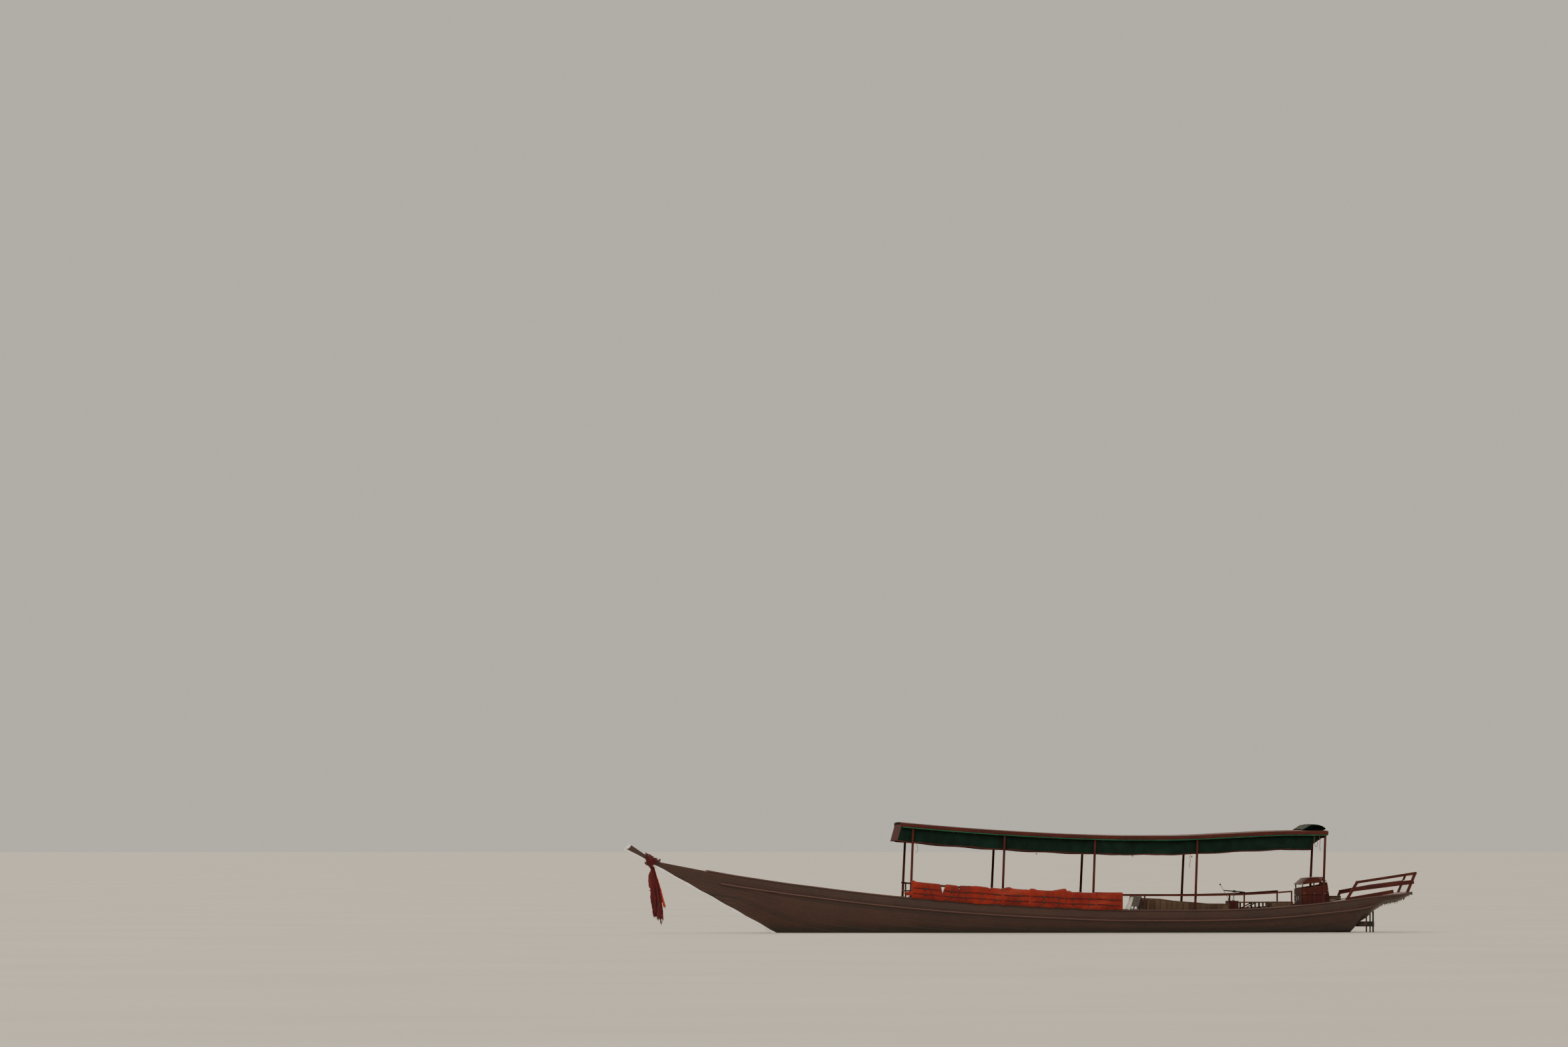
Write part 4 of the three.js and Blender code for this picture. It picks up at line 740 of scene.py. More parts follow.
def stem_glare_band():
    """Metal strip folded round the stem's lower edge and over its tip; its pale colour is a painted highlight
    for the sunlit glare along the stem.
    """
    build = Build()
    thick, side, inset = 0.0028, 0.042, 0.0004
    y0, y1 = KEEL_HALF - 0.0003 + inset, KEEL_HALF - 0.0003 + inset + thick
    foot_x = -4.560
    head, tip = Vector(STEM_HEAD[0]), Vector(STEM_TIP)
    foot = Vector((foot_x, STEM_SLOPE * (STEM_FOOT_X - foot_x)))
    stops = [head, head.lerp(tip, 0.5), tip]
    stops += [tip.lerp(foot, i / 24) for i in range(1, 25)]
    rings = []
    for i, p in enumerate(stops):
        ahead = (stops[min(i + 1, len(stops) - 1)] - stops[max(i - 1, 0)]).normalized()
        inward = Vector((-ahead.y, ahead.x))
        deep = side * (0.9 + 0.12 * math.sin(i * 1.7))
        flat, lip = p - inward * (inset + thick), p + inward * deep
        inner_flat = p - inward * inset
        rings.append([(flat.x, -y1, flat.y), (flat.x, y1, flat.y), (lip.x, y1, lip.y), (lip.x, y0, lip.y),
                      (inner_flat.x, y0, inner_flat.y), (inner_flat.x, -y0, inner_flat.y),
                      (lip.x, -y0, lip.y), (lip.x, -y1, lip.y)])
    build.loft(rings)
    build.piece("stem_glare_band", LOOKS["band"], angle=30)


def cross_boards():
    """Fore deck boards laid across, and the boarded riser at their aft end."""
    build = Build()
    clear = 0.0012
    start, end = FORE_DECK["start"], FORE_DECK["end"]
    edges = steps(start, end, 0.118)
    chance = random.Random(5)
    for a, b in zip(edges, edges[1:]):
        lift = chance.uniform(-0.0012, 0.0012)
        rings = []
        for x in (a + BOARD_GAP, b - BOARD_GAP):
            top = sheer(x) - FORE_DECK["drop"] + lift
            low = top - FORE_DECK["thick"]
            y0, y1 = skin(x, low, plank_thick(x) + clear), skin(x, top, plank_thick(x) + clear)
            rings.append([(x, -y0, low), (x, y0, low), (x, y1, top), (x, -y1, top)])
        build.loft(rings)
    foot, head = 0.040, sheer(end) - FORE_DECK["drop"] - FORE_DECK["thick"] - 0.001
    for z0, z1 in zip(steps(foot, head, 0.13), steps(foot, head, 0.13)[1:]):
        rings = []
        for z in (z0 + 0.0015, z1 - 0.0015):
            y = skin(end, z, plank_thick(end) + 0.006)
            rings.append([(end - 0.022, -y, z), (end - 0.022, y, z), (end, y, z), (end, -y, z)])
        build.loft(rings)
    piece = build.piece("fore_deck_boards", LOOKS["cross"], bevel=0.0025)
    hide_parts("fore_deck")


def lengthwise_boards(name, start, end, limit, top, thick, pitch, node):
    """Boards along the boat whose outer edges follow limit(x)."""
    build = Build()
    widest = max(limit(x) for x in steps(start, end, 0.3))
    edges = steps(-widest, widest, pitch)
    for a, b in zip(edges, edges[1:]):
        run = []
        for x in [*steps(start, end, 0.16), None]:
            reach = 0 if x is None else limit(x)
            y0, y1 = max(a + BOARD_GAP, -reach), min(b - BOARD_GAP, reach)
            if x is not None and y1 - y0 > 0.014:
                z = top(x)
                run.append([(x, y0, z - thick), (x, y1, z - thick), (x, y1, z), (x, y0, z)])
                continue
            if len(run) > 1:
                build.loft(run)
            run = []
    piece = build.piece(name, LOOKS["deck"], bevel=0.0025)
    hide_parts(node)


for side_name, side_sign in SIDES:
    planking(side_name, side_sign)
    gunwale(side_name, side_sign)
    rub_rail(side_name, side_sign)
stem_glare_band()
cross_boards()
lengthwise_boards("stern_deck_boards", AFT_DECK["start"], AFT_DECK["end"],
                  lambda x: half(x) - CAP["inboard"] - 0.001, lambda x: sheer(x) - AFT_DECK["below"],
                  AFT_DECK["thick"], 0.110, "stern_deck")
lengthwise_boards("floor_planks", FLOOR["start"], FLOOR["end"],
                  lambda x: inner(x, floor_top(x) - FLOOR["thick"]) - 0.004, floor_top, FLOOR["thick"],
                  0.128, "floor_boards")


# Canopy
def hoop(index, place):
    """Two round posts on bolted pads, a cross beam, and gussets where they meet."""
    x, y, top_x = place["x"], place["y"], place["top_x"]
    build = Build()
    line = roof_line(top_x)
    for _, sign in SIDES:
        foot = Vector((x, sign * y, sheer(x) + 0.001))
        head = Vector((top_x, sign * (y - POST["lean"]), line - CROSS["top"] - 0.006))
        stops = [foot.lerp(head, i / 10) for i in range(11)]
        build.tube(stops, lambda t: POST["radius"] * (1.0 - 0.05 * t), sides=18)
        slope = (sheer(x + 0.045) - sheer(x - 0.045)) / 2
        rings = []
        for dx in (-0.045, 0.045):
            z = sheer(x) + slope * dx / 0.045
            pad = rounded(-0.030, 0.030, 0.0004, 0.008, 0.003)
            rings.append([(x + dx, sign * y + a, z + b) for a, b in pad])
        build.loft(rings)
        for dx in (-0.033, 0.033):
            for dy in (-0.020, 0.020):
                z = sheer(x) + slope * dx / 0.045 + 0.007
                build.tube([(x + dx, sign * y + dy, z), (x + dx, sign * y + dy, z + 0.006)], 0.0055, sides=6)
        inboard = head.y - sign * 0.085
        gusset = [(head.y, line - CROSS["bottom"] - 0.085), (head.y, line - CROSS["bottom"] + 0.004),
                  (inboard, line - CROSS["bottom"] + 0.004)]
        build.loft([[(top_x + dx, gy, gz) for gy, gz in gusset] for dx in (-0.008, 0.008)])
    half_beam = y - POST["lean"] + 0.012
    for_beam = rounded(top_x - CROSS["wide"] / 2, top_x + CROSS["wide"] / 2, line - CROSS["bottom"],
                       line - CROSS["top"], 0.004)
    build.loft([[(bx, by, bz) for bx, bz in for_beam] for by in (-half_beam, half_beam)])
    if index == 0:
        up = 0.775 - sheer(x)
        reach = y - POST["lean"] * up / (line - sheer(x))
        at = x + POST["rake"] * up
        bar = rounded(at - 0.016, at + 0.016, 0.759, 0.791, 0.005)
        build.loft([[(bx, by, bz) for bx, bz in bar] for by in (-reach, reach)])
    piece = build.piece(f"posts_{index + 1}", LOOKS["post"], angle=42)
    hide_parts(f"roof_hoop_{index + 1}")


def roof_boards():
    """Lengthwise boards over the hoops and the painted boards along the roof's sides."""
    build = Build()
    shares = steps(-1, 1, 0.145)
    chance = random.Random(21)
    for a, b in zip(shares, shares[1:]):
        lift = chance.uniform(-0.0012, 0.0008)
        rings = []
        for x in steps(ROOF["start"], ROOF["end"], 0.22):
            w, top = roof_half(x), roof_line(x) + lift
            y0 = a * w + (0.0014 if a > -1 else 0)
            y1 = b * w - (0.0014 if b < 1 else 0)
            z0, z1 = top + camber(a), top + camber(b)
            rings.append([(x, y0, z0 - ROOF["thick"] + 0.002), (x, y1, z1 - ROOF["thick"] + 0.002),
                          (x, y1, z1), (x, y0, z0)])
        build.loft(rings)
    roof = build.piece("roof_boards", LOOKS["roof"], bevel=0.003)
    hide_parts("roof_panel")
    for name, sign in SIDES:
        board = Build()

        def ring(x):
            w, top = roof_half(x), roof_line(x)
            y0, y1 = sign * (w - ROOF["board"]), sign * (w + 0.0005)
            profile = rounded(y0, y1, top - ROOF["fascia"], top - ROOF["edge"] - 0.002, 0.004)
            return [(x, y, z) for y, z in profile]

        long_strip(board, ROOF["start"], ROOF["end"], ring, pitch=0.2, lengths=3)
        board.piece(f"roof_side_board_{name}", LOOKS["paint"], angle=50)
        # green tube along the tarp's top edge under each side board; its bright colour is a painted highlight
        # for light glowing along that edge
        piping = Build()
        path = [(x, sign * (roof_half(x) - 0.011), roof_line(x) - ROOF["fascia"] - 0.0095)
                for x in steps(ROOF["start"] + 0.01, ROOF["end"] - 0.01, 0.15)]
        piping.tube(path, 0.0095, sides=8)
        piping.piece(f"roof_piping_{name}", LOOKS["line"], angle=80)


for hoop_index, hoop_place in enumerate(HOOPS):
    hoop(hoop_index, hoop_place)
roof_boards()


# Cloth sides of the canopy
def sheet_faces(rows, across):
    """Faces of a grid of points, row after row."""
    count = across + 1
    return [(r * count + c, r * count + c + 1, (r + 1) * count + c + 1, (r + 1) * count + c)
            for r in range(rows) for c in range(across)]


def thicken(piece, thickness, offset=-1):
    solid = piece.modifiers.new("thickness", "SOLIDIFY")
    solid.thickness = thickness
    solid.offset = offset


def valance_depth(x):
    if x < ROOF["start"]:
        return VALANCE["front_depth"]
    if x < VALANCE["full_to"]:
        return VALANCE["depth"]
    share = (x - VALANCE["full_to"]) / (ROOF["end"] - 0.020 - VALANCE["full_to"])
    return VALANCE["full_depth"] + share * (VALANCE["end_depth"] - VALANCE["full_depth"])


def valance(name, sign):
    """Tarpaulin lashed to the purlin: it hangs in shallow folds and ends in a hem."""
    build = Build()
    rows = 14
    columns = steps(ROOF["start"] + 0.004, ROOF["end"] - 0.021, 0.030)
    front = VALANCE["lean"]
    grid = []
    for x in columns:
        lean = front * max(0.0, 1 - (x - columns[0]) / 0.45)
        column = []
        for r in range(rows + 1):
            t = r / rows
            px = x - lean * t
            top, low = roof_line(x) - VALANCE["top"], roof_line(px) - valance_depth(px if px < x else x)
            face = roof_half(x) - PURLIN["inset"] - PURLIN["wide"] - 0.0015
            fold = 0.5 + 0.5 * noise.noise(Vector((x * 2.6, sign * 3.0, t * 0.6)))
            fold += 0.22 * noise.noise(Vector((x * 9.0, sign * 3.0, t * 1.7)))
            depth = 0.002 + 0.016 * max(0.0, fold) * t ** 1.2
            sag = -0.006 * math.sin(x * 7.5) * t
            column.append(Vector((px, sign * (face - depth), top + (low - top) * t + sag)))
        grid.append(column)
    points = [p for column in grid for p in column]
    faces = sheet_faces(len(grid) - 1, rows)
    build.add(points, faces)
    piece = build.piece(f"side_cloth_{name}", LOOKS["tarp"], angle=80)
    thicken(piece, 0.0022)
    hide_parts(f"valance_{name}")
    hem = Build()
    rings = []
    for column in grid:
        a, b = column[-1], column[-2]
        down = (a - b).normalized()
        side = Vector((0, sign, 0))
        low, high = a + down * 0.003, a - down * 0.020
        rings.append([low + side * 0.003, high + side * 0.0022, high - side * 0.0050, low - side * 0.0050])
    hem.loft(rings)
    band = hem.piece(f"side_hem_{name}", LOOKS["hem"], angle=60)


for side_name, side_sign in SIDES:
    valance(side_name, side_sign)


# Life jackets over the port handrail
JACKET = {"thick": 0.050, "foot": -0.026, "overlap": 0.022, "step": 0.007, "voxel": 0.010, "cap": 0.012,
          "seam": 0.013}
# Each jacket: start, end, height over the rail along its width, lift of its foot, share of its seam
JACKET_ROW = (
    (-2.108, -1.556, ((0.0, 0.036), (0.09, 0.052), (0.18, 0.034), (0.6, 0.030), (1.0, 0.026)), -0.004, 0.44),
    (-1.562, -1.238, ((0.0, 0.024), (0.5, 0.028), (1.0, 0.022)), 0.002, 0.52),
    (-1.244, -0.962, ((0.0, 0.024), (0.6, 0.034), (1.0, 0.026)), -0.006, 0.47),
    (-0.970, -0.682, ((0.0, 0.028), (0.25, 0.032), (1.0, 0.020)), -0.002, 0.55),
    (-0.688, -0.446, ((0.0, 0.018), (0.5, 0.024), (1.0, 0.020)), 0.004, 0.50),
    (-0.452, 0.090, ((0.0, 0.024), (0.17, 0.050), (0.26, 0.058), (0.40, 0.036), (1.0, 0.028)), -0.004, 0.58),
    (0.082, 0.506, ((0.0, 0.050), (0.14, 0.054), (0.34, 0.036), (1.0, 0.028)), -0.008, 0.56),
    (0.498, 0.738, ((0.0, 0.034), (0.4, 0.058), (0.88, 0.080), (1.0, 0.060)), 0.000, 0.46),
    (0.730, 1.036, ((0.0, 0.032), (0.30, 0.044), (0.42, 0.028), (1.0, 0.026)), 0.002, 0.45),
    (1.028, 1.290, ((0.0, 0.026), (0.5, 0.030), (1.0, 0.028)), -0.006, 0.50),
    (1.282, 1.786, ((0.0, 0.044), (0.5, 0.047), (0.94, 0.050), (1.0, 0.046)), -0.002, 0.58),
)
# Corners that hang away from their neighbour: jacket, at its start or end, width, depth
JACKET_NOTCHES = ((0, "end", 0.036, 0.120), (1, "start", 0.092, 0.175), (1, "end", 0.032, 0.060),
                  (2, "start", 0.032, 0.050), (3, "end", 0.028, 0.060), (4, "start", 0.030, 0.050),
                  (4, "end", 0.018, 0.085), (5, "start", 0.018, 0.075))


def rail_frame(x):
    """Outer and inner face of the port handrail, its top, and the gunwale's top below it."""
    near = rail_inner(x)
    return near + RAIL["width"], near, rail_top(x), sheer(x)


def jacket_profile(x, lift, over):
    """Closed (y, z) outline of a jacket hung over the handrail, seen along the boat."""
    outer, near, top, deck = rail_frame(x)
    t = JACKET["thick"]
    low = deck + JACKET["foot"] + lift
    middle = 0.5 * (deck + top)
    return [
        (outer + 0.007, deck + 0.006), (outer + 0.62 * t, low), (outer + t - 0.006, low + 0.012),
        (outer + t + 0.002, 0.5 * (low + middle)), (outer + t + 0.006, middle),
        (outer + t + 0.001, 0.5 * (middle + top)), (outer + t - 0.010, top + 0.010),
        (outer + 0.45 * t, top + over - 0.009), (outer - 0.012, top + over),
        (near + 0.006, top + over - 0.006), (near - 0.006, top + 0.5 * over), (near + 0.004, top + 0.008),
        (outer - 0.014, top + 0.007), (outer + 0.006, top - 0.006), (outer + 0.007, middle),
    ]


def jacket_width(index, share):
    """Start and end of a jacket where its face is this share of the way up from its foot."""
    start, end = JACKET_ROW[index][0] - JACKET["overlap"], JACKET_ROW[index][1] + JACKET["overlap"]
    down = (1 - share) * RAIL["height"]
    for which, side, width, depth in JACKET_NOTCHES:
        if which == index:
            move = width * max(0.0, 1 - down / depth)
            start, end = (start + move, end) if side == "start" else (start, end - move)
    return start, end


def jacket_body(index):
    """Padded vest folded over the rail: two foam panels with a seam between them, creased and sagging."""
    start, end, overs, lift, seam = JACKET_ROW[index]
    build = Build()
    rings = []
    count = 22
    for i in range(count + 1):
        t = i / count
        plain_x = start + (end - start) * t
        edge = min(1.0, min(t, 1 - t) * 9)
        pinch = (1 - math.sqrt(max(0.0, 1 - (1 - edge) ** 2))) * 0.5
        groove = max(0.0, 1 - abs(t - seam) / 0.07)
        over = fair(overs, 1, t) - 0.010 * pinch
        deck = rail_frame(plain_x)[3]
        ring = []
        for j, (y, z) in enumerate(jacket_profile(plain_x, lift + 0.005 * math.sin(5 * t + index), over)):
            share = min(1.0, max(0.0, (z - deck) / RAIL["height"]))
            a, b = jacket_width(index, share)
            x = a + (b - a) * t
            if 2 <= j <= 7:
                crease = 0.006 * noise.noise(Vector((x * 11, z * 9, index)))
                block = 0.008 * max(0.0, 1 - abs(share - 0.52) / 0.06)
                y = y - JACKET["seam"] * groove - 0.4 * pinch * JACKET["thick"] + crease - block
                y += JACKET["step"] * (index % 2)
            ring.append((x, -y, z))
        rings.append(ring)
    build.loft(rings)
    if index == 0:
        collar = []
        for x, low, high in ((-2.262, 0.716, 0.744), (-2.235, 0.690, 0.752), (-2.170, 0.684, 0.760),
                             (-2.090, 0.680, 0.770)):
            y0 = rail_frame(x)[0] + 0.012
            collar.append([(x, -y, z) for y, z in rounded(y0, y0 + 0.030, low, high, 0.011)])
        build.loft(collar)
    return build.piece(f"life_jacket_{index + 1}", LOOKS["jacket"], angle=80)


SWELL = {"frames": 20, "pressure": 4.0}


def swell(pieces, voxel, cap):
    """Runs cloth with air pressure on padded pieces, keeps it near its start, and applies it."""
    bpy.context.view_layer.update()
    starts = []
    for piece in pieces:
        remesh = piece.modifiers.new("remesh", "REMESH")
        remesh.mode = "VOXEL"
        remesh.voxel_size = voxel
        remesh.use_smooth_shade = True
        graph = bpy.context.evaluated_depsgraph_get()
        mesh = bpy.data.meshes.new_from_object(piece.evaluated_get(graph))
        piece.modifiers.clear()
        piece.data = mesh
        starts.append([v.co.copy() for v in mesh.vertices])
        cloth = piece.modifiers.new("cloth", "CLOTH")
        cloth.settings.quality = 4
        cloth.settings.mass = 0.25
        cloth.settings.use_pressure = True
        cloth.settings.uniform_pressure_force = SWELL["pressure"]
        cloth.settings.tension_stiffness = 12
        cloth.settings.compression_stiffness = 8
        cloth.settings.bending_stiffness = 0.4
        cloth.settings.effector_weights.gravity = 0
        cloth.collision_settings.use_collision = False
        cloth.point_cache.frame_start = 1
        cloth.point_cache.frame_end = SWELL["frames"]
    for number in range(1, SWELL["frames"] + 1):
        scene.frame_set(number)
    graph = bpy.context.evaluated_depsgraph_get()
    shapes = [[v.co.copy() for v in piece.evaluated_get(graph).data.vertices] for piece in pieces]
    for piece, start, swollen in zip(pieces, starts, shapes):
        piece.modifiers.clear()
        for vertex, a, b in zip(piece.data.vertices, start, swollen):
            move = b - a
            vertex.co = a + (move if move.length <= cap else move * (cap / move.length))
    scene.frame_set(1)


def soften(piece, look):
    smooth = piece.modifiers.new("smooth", "SUBSURF")
    smooth.levels = smooth.render_levels = 1
    piece.data.materials.clear()
    piece.data.materials.append(look)
    for polygon in piece.data.polygons:
        polygon.use_smooth = True


STRAP = {"thick": 0.003, "steps": 18}


def strap_line(tree, index, share, width):
    """A flat band over a jacket's face at a share of its height, closed and thin."""
    a, b = jacket_width(index, share)
    out = STRAP["thick"]
    rings = []
    for i in range(STRAP["steps"] + 1):
        t = 0.07 + 0.86 * i / STRAP["steps"]
        x = a + (b - a) * t
        z = sheer(x) + RAIL["height"] * share + 0.006 * math.sin(4 * t + 2 * index)
        ys = []
        for h in (z - width / 2, z + width / 2):
            hit = tree.ray_cast(Vector((x, -2.0, h)), Vector((0, 1, 0)))[0]
            ys.append(hit.y + 0.002 if hit else -rail_frame(x)[0] - JACKET["thick"])
        z0, z1 = z - width / 2, z + width / 2
        rings.append([(x, ys[0], z0), (x, ys[0] - out, z0), (x, ys[1] - out, z1), (x, ys[1], z1)])
    return rings


def jackets():
    bodies = [jacket_body(i) for i in range(len(JACKET_ROW))]
    swell(bodies, JACKET["voxel"], JACKET["cap"])
    straps, buckles = Build(), Build()
    for body in bodies:
        soften(body, LOOKS["jacket"])
        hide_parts("life_jackets")
    bpy.context.view_layer.update()
    graph = bpy.context.evaluated_depsgraph_get()
    for index, body in enumerate(bodies):
        tree = BVHTree.FromObject(body, graph)
        start, end, _, _, seam = JACKET_ROW[index]
        for share in (0.26, 0.62):
            straps.loft(strap_line(tree, index, share, 0.026))
            middle = start + (end - start) * seam
            z = sheer(middle) + RAIL["height"] * share
            hit = tree.ray_cast(Vector((middle, -2.0, z)), Vector((0, 1, 0)))[0]
            y = -hit.y if hit else rail_frame(middle)[0] + JACKET["thick"]
            for dx in (-0.020, 0.003):
                outline = rounded(z - 0.016, z + 0.016, 0, 0.012, 0.005)
                ends = (middle + dx, middle + dx + 0.017)
                buckles.loft([[(x, -(y + d), h) for h, d in outline] for x in ends])
    straps.piece("jacket_straps", LOOKS["jacket_dark"], angle=60)
    buckles.piece("jacket_buckles", LOOKS["rubber"], bevel=0.001)


jackets()


# Rolled awning on the roof's aft end
AWNING = {"half": 0.600, "start": 5.200, "end": 5.680, "turns": 7, "centre": (5.430, 0.045),
          "ties": (-0.41, -0.02, 0.38),
          "back": ((5.680, 0.028), (5.606, 0.082), (5.519, 0.108), (5.412, 0.110), (5.350, 0.096),
                   (5.283, 0.050), (5.200, 0.004))}


def awning():
    """Tarpaulin rolled up flat: one long sheet wound about itself, lumpy, tied in three places."""
    start, end, ties = AWNING["start"], AWNING["end"], AWNING["ties"]
    base = [(start + (end - start) * i / 10, 0.003) for i in range(10)]
    outline = [Vector(p) for p in [*base, *AWNING["back"]]]
    outline.append(outline[0])
    lengths = [0.0]
    for a, b in zip(outline, outline[1:]):
        lengths.append(lengths[-1] + (b - a).length)

    def at(share):
        s = (share % 1.0) * lengths[-1]
        i = max(k for k in range(len(lengths) - 1) if lengths[k] <= s)
        t = (s - lengths[i]) / (lengths[i + 1] - lengths[i])
        return outline[i].lerp(outline[i + 1], t)

    around, turns = 40, AWNING["turns"]
    centre = Vector(AWNING["centre"])
    rows = []
    for y in steps(-AWNING["half"], AWNING["half"], 0.022):
        squeeze = max(max(0.0, 1 - abs(y - tie) / 0.05) for tie in ties)
        row = []
        for i in range(around * turns + 1):
            turn = i / around
            p = at(0.02 + turn * 0.999)
            offset = p - centre
            shrink = 1 - 0.125 * turn
            lump = noise.noise(Vector((p.x * 7, y * 6, p.y * 9 + 2.0))) * 0.010 * (1 if turn < 1 else 0.6)
            side_step = noise.noise(Vector((0.3, y * 14, turn))) * 0.004
            swollen = lump / max(0.03, offset.length) * (0.4 if p.y > 0.02 else 0.0)
            tall = shrink * (1 - 0.16 * squeeze) + swollen
            q = centre + Vector((offset.x * (shrink - 0.02 * squeeze), offset.y * tall))
            ground = roof_line(q.x) + camber(y / roof_half(q.x)) + 0.004
            above = ground + max(0.0, q.y) + 0.0045 * turn
            row.append(Vector((min(max(q.x, start), end), y + side_step * turn, above)))
        rows.append(row)
    points = [p for row in rows for p in row]
    faces = sheet_faces(len(rows) - 1, len(rows[0]) - 1)
    build = Build()
    build.add(points, faces)
    piece = build.piece("awning_sheet", LOOKS["tarp"], angle=80)
    thicken(piece, 0.002)
    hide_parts("awning_roll")
    ropes = Build()
    for y in ties:
        i = min(range(len(rows)), key=lambda k: abs(rows[k][0].y - y))
        loop = [Vector((p.x, p.y, p.z)) for p in rows[i][:around]]
        middle = sum(loop, Vector()) / len(loop)
        out = [p + (p - middle).normalized() * 0.004 for p in loop]
        ropes.tube(out, 0.0035, sides=8, closed=True)
        knot = max(out, key=lambda p: p.z)
        for turn in (-1, 1):
            bow = [knot + Vector((0.012 * turn * math.sin(a), turn * 0.018 * (1 - math.cos(a)),
                                  0.004 + 0.006 * math.sin(a))) for a in (0, 0.8, 1.6, 2.4, 3.1)]
            ropes.tube(bow, 0.003, sides=6)
    lashing = ropes.piece("awning_lashings", LOOKS["rope"], angle=80)


awning()


# Cloth and flowers at the stem head
def stem_face(x):
    return STEM_SLOPE * (STEM_FOOT_X - x)


def stem_top(x):
    (ax, az), (bx, bz), (cx, cz) = STEM_HEAD
    if x < bx:
        return az + (bz - az) * (x - ax) / (bx - ax)
    return bz + (cz - bz) * (x - bx) / (cx - bx)


WRAP = {"start": -6.985, "end": -6.805, "turns": 7, "fan": 0.055}
TAIL = {"top": 1.222}


def wrap():
    """Bands of cloth wound round the stem head, bunched and knotted at the lower side."""
    up = Vector((STEM_SLOPE, 0, 1)).normalized()
    ahead = Vector((1, 0, -STEM_SLOPE)).normalized()
    build = Build()
    chance = random.Random(4)
    for turn in range(WRAP["turns"]):
        x = WRAP["start"] + (WRAP["end"] - WRAP["start"]) * (turn + 0.5) / WRAP["turns"]
        lower, upper = stem_face(x), stem_top(x)
        centre = Vector((x, 0, 0.5 * (lower + upper)))
        tall = 0.5 * (upper - lower) / math.sqrt(1 + STEM_SLOPE ** 2) + 0.012
        wide = KEEL_HALF + 0.012
        bulge = 0.9 + 0.5 * chance.random()
        fan = WRAP["fan"] * (2 * turn / (WRAP["turns"] - 1) - 1)
        rings = []
        count = 40
        for i in range(count + 1):
            a = 2 * math.pi * i / count
            c, s = math.cos(a), math.sin(a)
            reach = (abs(c) ** 3.2 + abs(s) ** 3.2) ** (-1 / 3.2)
            spot = centre + up * (tall * c * reach) + Vector((0, wide * s * reach, 0))
            outward = (up * c + Vector((0, s, 0))).normalized()
            width = 0.019 + 0.004 * math.sin(3 * a + turn)
            depth = 0.013 * bulge * (1 + 0.35 * math.sin(5 * a + 1.3 * turn))
            drift = ahead * (0.008 * math.sin(2 * a + turn * 2.1) + fan * c)
            ring = []
            for k in range(10):
                b = 2 * math.pi * k / 10
                crease = 1 + 0.18 * math.sin(3 * b + 4 * a)
                ring.append(spot + drift + ahead * (width * math.cos(b) * crease)
                            + outward * (depth * (1 + math.sin(b)) * crease))
            rings.append(ring)
        rings[-1] = rings[0]
        build.loft(rings, caps=False)
    piece = build.piece("stem_cloth", LOOKS["sash"], angle=80)
    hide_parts("sash_wrap")
    knot = Build()
    centre = Vector((-6.866, 0, stem_face(-6.866) - 0.022))
    for i in range(3):
        loop = []
        for j in range(22):
            a = 2 * math.pi * j / 22
            loop.append(centre + Vector((0.030 * math.cos(a), 0.024 * math.sin(a + i),
                                         0.014 * math.sin(2 * a + i) - 0.010 * i)))
        knot.tube(loop, 0.016, sides=10, closed=True)
    knot.piece("stem_knot", LOOKS["sash"], angle=80)
    return piece


def ribbon(name, look, x, y, low, width, lean, phase):
    """A hanging ribbon: gathered where it is tied, wider and rippled below, torn into points at its end."""
    rows, across = 44, 8
    top = TAIL["top"] - 0.012
    chance = random.Random(name)
    tear = [chance.uniform(0.0, 0.11) for _ in range(across + 1)]
    points = []
    for r in range(rows + 1):
        t = r / rows
        spread = width * min(1.0, 0.24 + 1.4 * t) * (1 - 0.40 * max(0, t - 0.7) / 0.3)
        turn = 0.35 * math.sin(2.2 * t + phase) + 0.3 * math.sin(9 * t + phase)
        for c in range(across + 1):
            s = c / across - 0.5
            fall = top + (low - top) * t * (1 - tear[c] * t ** 3)
            ripple = 0.010 * math.sin(7 * s + 5 * t + phase) * min(1, 3 * t)
            frayed = 0.008 * noise.noise(Vector((phase, 26 * t, s))) * min(1, 4 * t)
            frayed *= 1 if abs(s) > 0.4 else 0
            dx, dy = spread * s * math.cos(turn) + frayed, spread * s * math.sin(turn)
            points.append(Vector((x + lean * t + dx + ripple * math.sin(turn),
                                  y + dy + ripple * math.cos(turn), fall)))
    faces = sheet_faces(rows, across)
    build = Build()
    build.add(points, faces)
    piece = build.piece(name, LOOKS[look], angle=80)
    thicken(piece, 0.0012, 0)
    return piece


# Each ribbon: look, x, y, lower end, width, lean aft, phase of its ripples
RIBBONS = (
    ("sash", -6.852, -0.022, 0.205, 0.110, 0.105, 0.2), ("sash", -6.868, 0.010, 0.245, 0.100, 0.070, 1.4),
    ("sash", -6.840, 0.030, 0.180, 0.100, 0.145, 2.3), ("sash", -6.878, -0.036, 0.285, 0.100, 0.050, 3.4),
    ("sash", -6.830, 0.000, 0.205, 0.105, 0.155, 4.6), ("sash", -6.846, 0.020, 0.100, 0.045, 0.150, 5.3),
    ("sash_edge", -6.820, 0.042, 0.430, 0.054, 0.202, 0.9),
)
STRAND = {"beads": 22, "top": 1.125, "length": 0.290, "x": -6.898}


